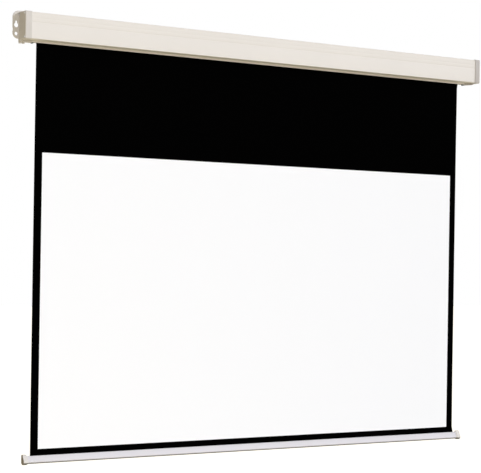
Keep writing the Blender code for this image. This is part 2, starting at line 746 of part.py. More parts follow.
def build_idle_plug():
    """Flanged plug in the tube's left end, bored for the idle pin."""
    bore = IDLE_PIN_RADIUS + FIT_GAP
    face = TUBE_HALF + FIT_GAP
    outer = face + PLUG_FLANGE_WIDTH
    inner = TUBE_HALF - IDLE_PLUG_LENGTH
    floor = outer - IDLE_PIN_GRIP - FIT_GAP
    profile = [(inner, 0), (inner, PLUG_RADIUS), (face, PLUG_RADIUS), (face, PLUG_FLANGE_RADIUS)]
    profile += [(outer, PLUG_FLANGE_RADIUS), (outer, bore), (floor, bore), (floor, 0)]
    profile = [(-x, radius) for x, radius in profile]
    return turned("idle_plug", profile, ROLLER_Y, ROLLER_Z, nylon())


def build_idle_pin():
    """Steel pin that the left end of the roller turns on."""
    inner = TUBE_HALF + FIT_GAP + PLUG_FLANGE_WIDTH - IDLE_PIN_GRIP
    outer = BRACKET_OUTER + FIT_GAP
    low, high = span(-1, inner, outer)
    return rod("idle_pin", IDLE_PIN_RADIUS, low, high, ROLLER_Y, ROLLER_Z, bright_steel())


def build_roller_tube():
    """Steel tube that the fabric winds on."""
    return ring("roller_tube", TUBE_BORE, TUBE_RADIUS, -TUBE_HALF, TUBE_HALF, tube_steel(), 48)


def build_wound_fabric():
    """Last turn of fabric left on the tube, a spiral that ends where the sheet hangs off it."""
    steps = int(WOUND_TURNS * 48)
    outer = []
    inner = []
    for index in range(steps + 1):
        turn = WOUND_TURNS * index / steps
        radius = WOUND_OUTER - WOUND_PITCH * turn
        angle = math.tau * turn
        for points, offset in ((outer, FABRIC_THICKNESS / 2), (inner, -FABRIC_THICKNESS / 2)):
            reach = radius + offset
            points.append((ROLLER_Y + reach * math.cos(angle), ROLLER_Z + reach * math.sin(angle)))
    low = FABRIC_SHIFT - FABRIC_WIDTH / 2
    high = FABRIC_SHIFT + FABRIC_WIDTH / 2
    return prism("wound_fabric", outer + inner[::-1], low, high, black_border())


def build_screen_fabric():
    """Hanging sheet: a white field with black printed round it."""
    half = FABRIC_WIDTH / 2
    columns = [-half, -half + SIDE_BORDER, half - SIDE_BORDER, half]
    rows = [FABRIC_LOW_Z, WHITE_BOTTOM_Z, WHITE_TOP_Z, FABRIC_HIGH_Z]
    bm = bmesh.new()
    front = []
    for z in rows:
        front.append([bm.verts.new((FABRIC_SHIFT + x, FABRIC_Y - FABRIC_THICKNESS / 2, z)) for x in columns])
    faces = []
    for low_row, high_row in zip(front, front[1:]):
        for column in range(len(columns) - 1):
            corners = low_row[column:column + 2] + high_row[column:column + 2][::-1]
            faces.append(bm.faces.new(corners))
    moved = bmesh.ops.extrude_face_region(bm, geom=faces, use_keep_orig=True)
    verts = [item for item in moved["geom"] if isinstance(item, bmesh.types.BMVert)]
    bmesh.ops.translate(bm, verts=verts, vec=(0, FABRIC_THICKNESS, 0))
    front_middle = faces[len(faces) // 2]
    for face in bm.faces:
        face.material_index = 0 if face is front_middle else 1
    sheet = link("screen_fabric", bm, white_fabric())
    sheet.data.materials.append(black_border())
    return sheet


def bar_shape():
    """Side view of the bottom bar."""
    return Teardrop(BAR_BACK_Y, BAR_LOW_Z, BAR_TOP_Z, BAR_LOW_RADIUS, BAR_TOP_RADIUS)


def build_bottom_bar():
    """Teardrop tube with a slot along its top for the fabric's hem."""
    shape = bar_shape()
    outline = shape.open_outline(BAR_SLOT) + shape.open_outline(BAR_SLOT, -BAR_WALL)[::-1]
    low, high = BAR_X - BAR_HALF, BAR_X + BAR_HALF
    return prism("bottom_bar", outline, low, high, bar_paint())


def build_hem_rod():
    """Rod in the fabric's hem that keeps it in the bar's slot."""
    reach = FABRIC_WIDTH / 2
    low, high = FABRIC_SHIFT - reach, FABRIC_SHIFT + reach
    return rod("hem_rod", HEM_ROD_RADIUS, low, high, FABRIC_Y, HEM_ROD_Z, nylon(), 16)


def build_bar_cap(side):
    """Cap over one end of the bottom bar, with a rounded outer end."""
    name = f"{side_name(side)}_bar_cap"
    low_z = BAR_LOW_Z - BAR_CAP_DROP
    high_z = BAR_TOP_Z + BAR_CAP_RISE
    back = BAR_BACK_Y + BAR_CAP_BACK
    shape = Teardrop(back, low_z, high_z, BAR_CAP_LOW_RADIUS, BAR_CAP_TOP_RADIUS)
    low, high = [BAR_X + x for x in span(side, BAR_CAP_START, BAR_CAP_START + BAR_CAP_LENGTH)]
    cap = prism(name, shape.outline(), low, high, bar_cap_plastic())
    bevel = cap.modifiers.new("rounded_edges", 'BEVEL')
    bevel.width = BAR_CAP_BEVEL
    bevel.segments = 3
    bevel.limit_method = 'ANGLE'
    bevel.angle_limit = math.radians(60)
    reach = span(side, BAR_CAP_START - BAR_CAP_LENGTH, BAR_HALF + FIT_GAP)
    low, high = [BAR_X + x for x in reach]
    return combine(cap, 'DIFFERENCE', [prism(f"{name}_pocket", bar_shape().outline(FIT_GAP), low, high)])


def build_stop(side):
    """Rubber stop in the slot, which the bar's cap meets when the fabric is rolled up."""
    far = TONGUE_START - FIT_GAP
    back = -CASE_WALL - FIT_GAP
    front = LIP_BACK_Y + FIT_GAP
    floor = CASE_UNDERSIDE + CASE_WALL + FIT_GAP
    top = floor + STOP_FLANGE_THICKNESS
    low = CASE_LIP_Z - STOP_DROP
    outline = [(back, low), (back, top), (front - STOP_FLANGE, top), (front - STOP_FLANGE, floor)]
    outline += [(front, floor), (front, low)]
    name = f"{side_name(side)}_stop"
    low_x, high_x = span(side, far - STOP_LENGTH, far)
    return prism(name, outline, low_x, high_x, black_rubber())


def build_carrier():
    """Plug in the tube's right end: spring nose, pawl chamber and flange."""
    bore = SHAFT_RADIUS + FIT_GAP
    nose = CARRIER_INNER - NOSE_LENGTH
    face = TUBE_HALF + FIT_GAP
    outer = face + PLUG_FLANGE_WIDTH
    profile = [(nose, bore), (nose, NOSE_RADIUS), (CARRIER_INNER, NOSE_RADIUS)]
    profile += [(CARRIER_INNER, PLUG_RADIUS), (face, PLUG_RADIUS), (face, PLUG_FLANGE_RADIUS)]
    profile += [(outer, PLUG_FLANGE_RADIUS), (outer, CHAMBER_RADIUS)]
    profile += [(CHAMBER_FLOOR, CHAMBER_RADIUS), (CHAMBER_FLOOR, bore)]
    carrier = turned("pawl_carrier", profile, ROLLER_Y, ROLLER_Z, nylon())
    holes = []
    for number in (1, 2):
        y, z = lock_point(number, PAWL_REACH, PAWL_PIN_V)
        low = CHAMBER_FLOOR - PAWL_PIN_GRIP
        high = CHAMBER_FLOOR + PAWL_PIN_GRIP
        holes.append(rod(f"pin_hole_{number}", PAWL_PIN_RADIUS + FIT_GAP, low, high, y, z, sides=12))
    return combine(carrier, 'DIFFERENCE', holes)


def build_carrier_cover():
    """Disc that closes the pawl chamber."""
    outer = TUBE_HALF + FIT_GAP + PLUG_FLANGE_WIDTH
    bore = SHAFT_RADIUS + FIT_GAP
    return ring("carrier_cover", bore, CHAMBER_RADIUS - FIT_GAP, outer - COVER_WIDTH, outer, nylon())


def lock_point(number, u, v):
    """World (y, z) of a point given along and above a notch's floor; the second notch is opposite."""
    angle = LOCK_ANGLE + math.pi * (number - 1)
    along = (math.cos(angle), math.sin(angle))
    y = ROLLER_Y + u * along[0] - v * along[1]
    z = ROLLER_Z + u * along[1] + v * along[0]
    return y, z


def build_ratchet():
    """Fixed wheel with two notches, and the hub that is pinned to the shaft."""
    floor_end = math.sqrt(RATCHET_RADIUS ** 2 - NOTCH_FLOOR ** 2)
    top = math.sqrt(RATCHET_RADIUS ** 2 - FIT_GAP ** 2)
    start = math.degrees(math.atan2(NOTCH_FLOOR, floor_end))
    end = math.degrees(math.atan2(top, -FIT_GAP))
    outline = []
    for number in (1, 2):
        corner = (-FIT_GAP, NOTCH_FLOOR)
        points = [corner, (floor_end, NOTCH_FLOOR)]
        points += arc((0, 0), RATCHET_RADIUS, start - 8, end - 180, 12)
        outline += [lock_point(number, u, v) for u, v in points]
    wheel = prism("ratchet_wheel", outline, RATCHET_INNER, RATCHET_OUTER, spring_steel())
    hub_inner = RATCHET_INNER - RATCHET_HUB_WIDTH
    overlap = FIT_GAP / 2
    middle = (ROLLER_Y, ROLLER_Z)
    hub = rod("ratchet_hub", RATCHET_HUB_RADIUS, hub_inner, RATCHET_INNER + overlap, *middle, sides=24)
    combine(wheel, 'UNION', [hub])
    bore_low, bore_high = hub_inner - RATCHET_WIDTH, RATCHET_OUTER + RATCHET_WIDTH
    bore = rod("ratchet_bore", SHAFT_RADIUS + FIT_GAP, bore_low, bore_high, *middle, sides=24)
    combine(wheel, 'DIFFERENCE', [bore])
    cross = cross_hole("ratchet_cross_hole", hub_inner + RATCHET_HUB_WIDTH / 2)
    return combine(wheel, 'DIFFERENCE', [cross])


def upright_rod(name, radius, x, half_length, material=None):
    """Short vertical pin through the shaft's axis."""
    bm = bmesh.new()
    place = Matrix.Translation((x, ROLLER_Y, ROLLER_Z)) @ Matrix.Rotation(math.radians(15), 4, 'Z')
    bmesh.ops.create_cone(
        bm,
        cap_ends=True,
        segments=12,
        radius1=radius,
        radius2=radius,
        depth=2 * half_length,
        matrix=place,
    )
    return link(name, bm, material)


def cross_hole(name, x):
    """Vertical hole for a cross pin."""
    return upright_rod(name, CROSS_PIN_RADIUS + FIT_GAP, x, CHAMBER_RADIUS)


def build_cross_pins():
    """Pins that hold the ratchet and the spring's anchor on the shaft."""
    ratchet_x = RATCHET_INNER - RATCHET_HUB_WIDTH / 2
    upright_rod("ratchet_pin", CROSS_PIN_RADIUS, ratchet_x, RATCHET_HUB_RADIUS, spring_steel())
    anchor_x = ANCHOR_INNER + ANCHOR_LENGTH / 4
    upright_rod("anchor_pin", CROSS_PIN_RADIUS, anchor_x, NOSE_RADIUS - FIT_GAP, spring_steel())


def build_shaft():
    """Shaft that never turns, flattened to a tongue where the right bracket holds it."""
    shaft = rod("spring_shaft", SHAFT_RADIUS, SHAFT_INNER, SHAFT_OUTER, ROLLER_Y, ROLLER_Z, spring_steel())
    length, depth, height = TONGUE_SIZE
    low = (SHAFT_OUTER - SHAFT_RADIUS, ROLLER_Y - depth / 2, ROLLER_Z - height / 2)
    high = (SHAFT_OUTER + length, ROLLER_Y + depth / 2, ROLLER_Z + height / 2)
    combine(shaft, 'UNION', [block("tongue", low, high)])
    ratchet_hole = cross_hole("shaft_ratchet_hole", RATCHET_INNER - RATCHET_HUB_WIDTH / 2)
    anchor_hole = cross_hole("shaft_anchor_hole", ANCHOR_INNER + ANCHOR_LENGTH / 4)
    return combine(shaft, 'DIFFERENCE', [ratchet_hole, anchor_hole])


def build_shaft_clip():
    """Open clip that keeps the shaft in the carrier."""
    inner = SHAFT_RADIUS + FIT_GAP
    half = math.degrees(CLIP_MOUTH) / 2
    middle = (ROLLER_Y, ROLLER_Z)
    outline = arc(middle, CLIP_RADIUS, half - 90, 270 - half, 16)
    outline += arc(middle, inner, 270 - half, half - 90, 16)
    start = TUBE_HALF + 2 * FIT_GAP + PLUG_FLANGE_WIDTH
    return prism("shaft_clip", outline, start, start + CLIP_WIDTH, spring_steel())


def pawl_outline(number):
    """Arm with a round boss at its pin, drawn lifted clear of the ratchet."""
    pin = (PAWL_REACH, PAWL_PIN_V)
    boss = arc(pin, PAWL_BOSS_RADIUS, -142, 142, 12)
    top = PAWL_BOTTOM + PAWL_ARM_THICKNESS
    outline = [(PAWL_TIP_CHAMFER, top), (0, top - PAWL_TIP_CHAMFER), (0, PAWL_BOTTOM)] + boss
    lifted = []
    for u, v in outline:
        away_u = u - pin[0]
        away_v = v - pin[1]
        turned_u = away_u * math.cos(PAWL_LIFT) + away_v * math.sin(PAWL_LIFT)
        turned_v = away_v * math.cos(PAWL_LIFT) - away_u * math.sin(PAWL_LIFT)
        lifted.append(lock_point(number, pin[0] + turned_u, pin[1] + turned_v))
    return lifted


def build_pawl(number):
    """Pawl with its mesh moved so that its origin lies on its pin."""
    name = "first_pawl" if number == 1 else "second_pawl"
    low = RATCHET_INNER + FIT_GAP
    high = RATCHET_OUTER - FIT_GAP
    pawl = prism(name, pawl_outline(number), low, high, spring_steel())
    y, z = lock_point(number, PAWL_REACH, PAWL_PIN_V)
    radius = PAWL_PIN_RADIUS + FIT_GAP
    bore = rod(f"{name}_bore", radius, low - RATCHET_WIDTH, high + RATCHET_WIDTH, y, z, sides=12)
    pawl.data.transform(Matrix.Translation((-low, -y, -z)))
    pawl.location = (low, y, z)
    return combine(pawl, 'DIFFERENCE', [bore])


def build_pawl_pins():
    """Pins that the pawls swing on, fixed in the carrier's floor."""
    for number, name in ((1, "first_pawl_pin"), (2, "second_pawl_pin")):
        y, z = lock_point(number, PAWL_REACH, PAWL_PIN_V)
        low = CHAMBER_FLOOR - PAWL_PIN_GRIP + FIT_GAP
        high = RATCHET_OUTER + PAWL_PIN_GRIP / 4
        rod(name, PAWL_PIN_RADIUS, low, high, y, z, bright_steel(), 12)


def build_anchor():
    """Plug pinned to the shaft, which holds the still end of the spring."""
    bore = SHAFT_RADIUS + FIT_GAP
    anchor = ring("spring_anchor", bore, NOSE_RADIUS, ANCHOR_INNER, ANCHOR_INNER + ANCHOR_LENGTH, nylon())
    return combine(anchor, 'DIFFERENCE', [cross_hole("anchor_cross_hole", ANCHOR_INNER + ANCHOR_LENGTH / 4)])


def build_shaft_guide():
    """Disc that centres the inner end of the shaft in the tube."""
    low = SHAFT_INNER + GUIDE_INSET
    return ring("shaft_guide", SHAFT_RADIUS + FIT_GAP, PLUG_RADIUS, low, low + GUIDE_WIDTH, nylon())


def build_spring():
    """Torsion spring between the anchor and the carrier's nose."""
    low = ANCHOR_INNER + ANCHOR_LENGTH - SPRING_OVERLAP
    high = CARRIER_INNER - NOSE_LENGTH + SPRING_OVERLAP
    count = SPRING_TURNS * SPRING_POINTS_PER_TURN
    data = bpy.data.curves.new("torsion_spring", 'CURVE')
    data.dimensions = '3D'
    data.bevel_depth = SPRING_WIRE_RADIUS
    data.bevel_resolution = 0
    data.use_fill_caps = True
    spline = data.splines.new('POLY')
    spline.points.add(count)
    for index, point in enumerate(spline.points):
        angle = math.tau * index / SPRING_POINTS_PER_TURN
        x = low + (high - low) * index / count
        y = ROLLER_Y + SPRING_RADIUS * math.cos(angle)
        z = ROLLER_Z + SPRING_RADIUS * math.sin(angle)
        point.co = (x, y, z, 1)
    data.materials.append(spring_steel())
    spring = bpy.data.objects.new("torsion_spring", data)
    bpy.context.scene.collection.objects.link(spring)
    return spring


def build_screen():
    """Every piece of the screen, in the order in which it is put together."""
    clear_scene()
    build_case()
    for side in (-1, 1):
        build_end_cap(side)
        build_cap_screws(side)
        build_bracket_screws(side)
        build_bar_cap(side)
        build_stop(side)
    build_idle_bracket()
    build_idle_bush()
    build_spring_bracket()
    build_shaft()
    build_shaft_clip()
    build_ratchet()
    build_cross_pins()
    build_anchor()
    build_spring()
    build_roller_tube()
    build_wound_fabric()
    build_idle_plug()
    build_idle_pin()
    build_carrier()
    build_carrier_cover()
    build_shaft_guide()
    build_pawl_pins()
    for number in (1, 2):
        build_pawl(number)
    build_screen_fabric()
    build_bottom_bar()
    build_hem_rod()


build_screen()
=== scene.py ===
"""Pull down projector screen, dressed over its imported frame.

Metres, +Z up. X runs along the case to the viewer's right, the front faces -Y, and the origin is the
middle of the case's back face, against the wall. The fabric hangs fully lowered. Cross sections are
arrays of (y, z) points that are carried along X.
"""
import logging
import math
from dataclasses import dataclass, field
from enum import Enum

import bmesh
import bpy
import numpy as np
from mathutils import Matrix, Vector


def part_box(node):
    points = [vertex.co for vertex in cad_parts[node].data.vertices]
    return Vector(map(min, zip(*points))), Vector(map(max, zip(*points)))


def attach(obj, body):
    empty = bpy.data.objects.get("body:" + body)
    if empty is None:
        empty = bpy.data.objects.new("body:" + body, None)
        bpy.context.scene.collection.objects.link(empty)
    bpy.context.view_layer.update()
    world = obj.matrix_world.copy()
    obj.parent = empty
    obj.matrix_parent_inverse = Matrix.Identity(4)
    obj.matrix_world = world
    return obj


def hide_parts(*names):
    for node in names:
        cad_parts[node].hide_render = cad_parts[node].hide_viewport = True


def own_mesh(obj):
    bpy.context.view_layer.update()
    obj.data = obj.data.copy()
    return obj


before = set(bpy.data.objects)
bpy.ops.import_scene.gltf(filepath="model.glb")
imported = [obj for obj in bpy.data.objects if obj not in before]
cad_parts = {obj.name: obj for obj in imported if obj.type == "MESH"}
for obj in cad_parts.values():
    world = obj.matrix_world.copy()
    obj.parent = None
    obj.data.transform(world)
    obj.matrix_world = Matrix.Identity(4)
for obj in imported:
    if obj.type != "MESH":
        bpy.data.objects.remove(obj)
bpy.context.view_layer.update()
LOG = logging.getLogger("projector_screen")
Triple = tuple[float, float, float]
Colour = Triple
Socket = bpy.types.NodeSocket

# Distances in metres under which points merge, and angles in degrees between flat and sharp faces.
MERGE = 1e-6
CAD_MERGE = 2e-6
NO_AREA = 1e-7
FLAT_ANGLE = 0.5
CAD_SHARP_ANGLE = 32.0


class Body(Enum):
    """Moving bodies of the screen."""

    HOUSING = "housing"
    ROLLER = "roller"
    BAR = "bar"


class Side(Enum):
    """One end of the case, with its sign along X."""

    LEFT = -1
    RIGHT = 1

    @property
    def word(self) -> str:
        """Lower-case name of the side."""
        return self.name.lower()


class Brushing(Enum):
    """Run of a surface's fine marks, as scales along X, Y and Z."""

    NONE = (1.0, 1.0, 1.0)
    ALONG = (6.0, 700.0, 700.0)
    AROUND = (900.0, 30.0, 30.0)
    EVEN = (300.0, 300.0, 300.0)


@dataclass
class Shell:
    """Vertices and faces of one closed surface."""

    points: np.ndarray
    faces: list[list[int]]


@dataclass(frozen=True)
class Noise:
    """Fractal noise: its features per unit, its octaves and how far what follows it changes."""

    scale: float
    octaves: float
    change: float


def stacked(*parts: np.ndarray | float) -> np.ndarray:
    """Points from their coordinates, which may differ in shape."""
    return np.stack(np.broadcast_arrays(*parts), axis=-1)


def turned(way: np.ndarray | float, radius: np.ndarray | float, angle: np.ndarray) -> np.ndarray:
    """Points round the X axis: x is the way along it, y and z are the radius times cosine and sine.

    Args:
        way: Places along X.
        radius: Distances from the axis.
        angle: Angles in radians.

    Returns:
        Array of points, in the joint shape of the three.
    """
    return stacked(way, radius * np.cos(angle), radius * np.sin(angle))


def arc(centre: tuple[float, float], radius: float, start: float, end: float, count: int) -> np.ndarray:
    """Evenly spaced points on a circle: the centre plus the radius times cosine and sine.

    Args:
        centre: The circle's centre.
        radius: Its radius.
        start: First angle in degrees.
        end: Last angle in degrees.
        count: Number of points.

    Returns:
        Array of shape (count, 2).
    """
    angles = np.radians(np.linspace(start, end, count))
    return turned(0.0, radius, angles)[:, 1:] + centre


def smooth_step(values: np.ndarray, low: float, high: float) -> np.ndarray:
    """Ease from 0 to 1 as 3 t squared minus 2 t cubed, where t runs from low to high.

    Args:
        values: Input numbers.
        low: Where the ease starts.
        high: Where it ends.

    Returns:
        Array of the same shape.
    """
    t = np.clip((values - low) / (high - low), 0.0, 1.0)
    return t * t * (3.0 - 2.0 * t)


def grid_faces(rows: int, columns: int, wrap: bool) -> np.ndarray:
    """Quads of a grid numbered row by row; each joins a point, its right neighbour and the two below.

    Args:
        rows: Number of rows.
        columns: Number of columns.
        wrap: Whether the last column joins the first.

    Returns:
        Array of shape (faces, 4).
    """
    row, column = np.meshgrid(np.arange(rows - 1), np.arange(columns - (not wrap)), indexing="ij")
    following = (column + 1) % columns
    corners = (
        row * columns + column,
        row * columns + following,
        (row + 1) * columns + following,
        (row + 1) * columns + column,
    )
    return np.stack(corners, axis=-1).reshape(-1, 4)


def lofted(rings: np.ndarray) -> Shell:
    """Closed rings joined one after the other, with a flat face on the first and on the last.

    Args:
        rings: Array of shape (rings, points, 3).

    Returns:
        The closed shell.
    """
    rows, columns = rings.shape[:2]
    faces = grid_faces(rows, columns, True).tolist()
    faces.append(list(range(columns - 1, -1, -1)))
    faces.append(list(range((rows - 1) * columns, rows * columns)))
    return Shell(rings.reshape(-1, 3), faces)


def carried(outlines: np.ndarray, stations: np.ndarray) -> Shell:
    """Closed (y, z) outlines carried along X: ring i has x = station i and outline i's y and z.

    Args:
        outlines: Array of shape (points, 2), or (stations, points, 2) where the outline changes.
        stations: Places along X.

    Returns:
        The closed shell.
    """
    outlines = np.broadcast_to(outlines, (len(stations), *outlines.shape[-2:]))
    along = np.broadcast_to(stations[:, None, None], (*outlines.shape[:2], 1))
    return lofted(np.concatenate((along, outlines), axis=2))


def turn_outwards(mesh: bpy.types.Mesh) -> None:
    """Flip the faces of a closed mesh whose signed volume is below 0.

    Args:
        mesh: The mesh.
    """
    bm = bmesh.new()
    bm.from_mesh(mesh)
    if bm.calc_volume(signed=True) < 0:
        mesh.flip_normals()
    bm.free()


def made_piece(name: str, shells: list[Shell], sharp: float = 35.0, edge: float = 0.0) -> bpy.types.Object:
    """Object of closed shells, merged, facing outwards and shaded smooth up to the sharp angle.

    Args:
        name: The piece's name.
        shells: Closed surfaces that make it up.
        sharp: Angle in degrees above which an edge stays sharp.
        edge: Width of the rounding along sharp edges, or 0.

    Returns:
        The new object.
    """
    points = np.concatenate([shell.points for shell in shells])
    starts = np.cumsum([0, *(len(shell.points) for shell in shells)]).tolist()
    faces = []
    for start, shell in zip(starts, shells):
        faces += [[start + corner for corner in face] for face in shell.faces]
    mesh = bpy.data.meshes.new(name)
    mesh.from_pydata(points.tolist(), [], faces)
    tidy_mesh(mesh)
    return finished(name, mesh, sharp, edge)


def tidy_mesh(mesh: bpy.types.Mesh) -> None:
    """Merge doubled vertices, drop faces without area and turn the faces outwards.

    Args:
        mesh: The mesh to clean.
    """
    bm = bmesh.new()
    bm.from_mesh(mesh)
    bmesh.ops.remove_doubles(bm, verts=bm.verts, dist=MERGE)
    bmesh.ops.dissolve_degenerate(bm, edges=bm.edges, dist=NO_AREA)
    bm.to_mesh(mesh)
    bm.free()
    turn_outwards(mesh)


def finished(name: str, mesh: bpy.types.Mesh, sharp: float, edge: float) -> bpy.types.Object:
    """Link a mesh as an object with its shading and, where asked, a rounding along its edges.

    Args:
        name: The piece's name.
        mesh: The mesh.
        sharp: Angle in degrees above which an edge stays sharp.
        edge: Width of the rounding, or 0.

    Returns:
        The new object.
    """
    mesh.shade_smooth()
    mesh.set_sharp_from_angle(angle=math.radians(sharp))
    piece = bpy.data.objects.new(name, mesh)
    bpy.context.scene.collection.objects.link(piece)
    if edge > 0:
        rounding = piece.modifiers.new("rounded_edges", 'BEVEL')
        rounding.width = edge
        rounding.segments = 2
        rounding.limit_method = 'ANGLE'
        rounding.angle_limit = math.radians(sharp)
        rounding.harden_normals = True
    return piece


def refined_copy(node: str, name: str, edge: float) -> bpy.types.Object:
    """Copy of a CAD node with its triangles merged, its flat faces joined and its edges rounded.

    Args:
        node: The CAD node.
        name: The copy's name.
        edge: Width of the rounding.

    Returns:
        The new object.
    """
    bm = bmesh.new()
    bm.from_mesh(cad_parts[node].data)
    bmesh.ops.remove_doubles(bm, verts=bm.verts, dist=CAD_MERGE)
    bmesh.ops.dissolve_limit(bm, angle_limit=math.radians(FLAT_ANGLE), verts=bm.verts, edges=bm.edges)
    mesh = bpy.data.meshes.new(name)
    bm.to_mesh(mesh)
    bm.free()
    return finished(name, mesh, CAD_SHARP_ANGLE, edge)


def fitted(piece: bpy.types.Object, body: Body, slot: str, finish: "Finish", *nodes: str) -> None:
    """Dress a finished piece and put it in the place of its CAD nodes.

    Args:
        piece: The finished piece.
        body: Body that it moves with.
        slot: Material slot of the record; not used.
        finish: Its finish.
        nodes: CAD nodes that it stands for.
    """
    piece.data.materials.clear()
    piece.data.materials.append(finish.material())
    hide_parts(*nodes)
    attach(piece, body.value)
    LOG.info("%s: %s", body.value, piece.name)


class Graph:
    """Writer of the nodes of one material or of the world."""

    def __init__(self, owner: bpy.types.Material | bpy.types.World) -> None:
        """Turn the owner's nodes on.

        Args:
            owner: The material or the world.
        """
        owner.use_nodes = True
        self.owner = owner
        self.nodes = owner.node_tree.nodes

    def feed(self, target: Socket, value: object) -> None:
        """Join an input to a socket, or give it its own value; a colour is opaque.

        Args:
            target: The input.
            value: A socket, number, vector or colour.
        """
        if isinstance(value, Socket):
            self.owner.node_tree.links.new(value, target)
        else:
            target.default_value = (*value, 1.0) if target.type == 'RGBA' else value

    def fill(self, node: bpy.types.Node, **values: object) -> None:
        """Feed a node's inputs, named with underscores in place of spaces; None leaves one as it is.

        Args:
            node: The node.
            values: Value or socket for each input.
        """
        for key, value in values.items():
            if value is not None:
                self.feed(node.inputs[key.replace("_", " ")], value)

    def node(self, kind: str, output: str, **values: object) -> Socket:
        """Add a node and fill its inputs.

        Args:
            kind: Its type, less the word ShaderNode.
            output: Name of the output that is wanted.
            values: Value or socket for each input.

        Returns:
            The output.
        """
        node = self.nodes.new(f"ShaderNode{kind}")
        self.fill(node, **values)
        return node.outputs[output]

    def coordinates(self, scale: Triple = (1.0, 1.0, 1.0), source: str = "Object") -> Socket:
        """Coordinates of a piece from an output of Texture Coordinate, stretched along the three axes."""
        return self.node("Mapping", "Vector", Scale=scale, Vector=self.node("TexCoord", source))

    def place(self, axis: str, source: str = "Object") -> Socket:
        """One of a point's coordinates, in metres."""
        return self.node("SeparateXYZ", axis, Vector=self.coordinates(source=source))

    def noise(self, vector: Socket, noise: Noise) -> Socket:
        """Value of a fractal noise at some coordinates."""
        return self.node("TexNoise", "Fac", Scale=noise.scale, Detail=noise.octaves, Vector=vector)

    def weave(self, vector: Socket, scale: float) -> Socket:
        """Plain weave: the product of two sets of sine ribs, one across X and one across Y.

        Args:
            vector: Coordinates.
            scale: The waves' scale.

        Returns:
            The value socket.
        """
        sets = []
        for direction in "XY":
            ribs = self.node("TexWave", "Fac", Scale=scale, Distortion=0.6, Detail_Scale=2.0, Vector=vector)
            ribs.node.bands_direction = direction
            sets.append(ribs)
        return self.result('MULTIPLY', *sets)

    def result(self, operation: str, *values: object, kind: str = "Math") -> Socket:
        """Result of an operation on values.

        Args:
            operation: Its name.
            values: Value or socket for each input, in order.
            kind: Math or VectorMath.

        Returns:
            The value socket.
        """
        node = self.nodes.new(f"ShaderNode{kind}")
        node.operation = operation
        for target, value in zip(node.inputs, values):
            self.feed(target, value)
        return node.outputs["Value"]

    def ramp(self, value: Socket, start: float, end: float) -> Socket:
        """Share that grows from 0 where a value is at its start to 1 at its end."""
        return self.node("MapRange", "Result", Value=value, From_Min=start, From_Max=end)

    def spread(self, noise: Socket, low: float, high: float) -> Socket:
        """Noise, most of which lies between 0.3 and 0.7, spread over a range."""
        limits = {"From_Min": 0.3, "From_Max": 0.7, "To_Min": low, "To_Max": high}
        return self.node("MapRange", "Result", Value=noise, **limits)

    def mixed(self, share: Socket, first: object, second: object) -> Socket:
        """Blend of two colours.

        Args:
            share: Share of the second colour.
            first: Colour or socket at 0.
            second: Colour or socket at 1.

        Returns:
            The colour socket.
        """
        node = self.nodes.new("ShaderNodeMix")
        node.data_type = 'RGBA'
        self.feed(node.inputs["Factor"], share)
        for key, value in (("A", first), ("B", second)):
            self.feed(next(s for s in node.inputs if s.name == key and s.type == 'RGBA'), value)
        return next(s for s in node.outputs if s.type == 'RGBA')

    def toned(self, colour: Colour, noise: Socket, change: float) -> Socket:
        """A colour that gets lighter and darker with a noise.

        Args:
            colour: The middle colour.
            noise: The noise.
            change: Share by which it changes each way.

        Returns:
            The colour socket.
        """
        dark = tuple(part * (1.0 - change) for part in colour)
        light = tuple(min(1.0, part * (1.0 + change)) for part in colour)
        return self.mixed(self.spread(noise, 0.0, 1.0), dark, light)

    def bump(self, height: Socket, distance: float, under: object = None) -> Socket:
        """Relief of a height, so many metres deep, on another relief if there is one."""
        return self.node("Bump", "Normal", Strength=1.0, Distance=distance, Height=height, Normal=under)

    def seen(self) -> Socket:
        """Share that is 1 for the camera's rays and for those that gloss or glass sends on.

        Returns:
            The value socket.
        """
        camera = self.node("LightPath", "Is Camera Ray")
        gloss, glass = (camera.node.outputs[f"Is {kind} Ray"] for kind in ("Glossy", "Transmission"))
        return self.result('MAXIMUM', self.result('MAXIMUM', camera, gloss), glass)

    def set(self, **values: object) -> None:
        """Fill inputs of the material's shader."""
        self.fill(self.nodes["Principled BSDF"], **values)


@dataclass(frozen=True)
class PaintedLowShade:
    """Painted shade along a piece's lowest edge, standing in for its shaded underside: a darker tone, whole
    below one height and gone above another.
    """

    colour: Colour
    whole: float
    gone: float


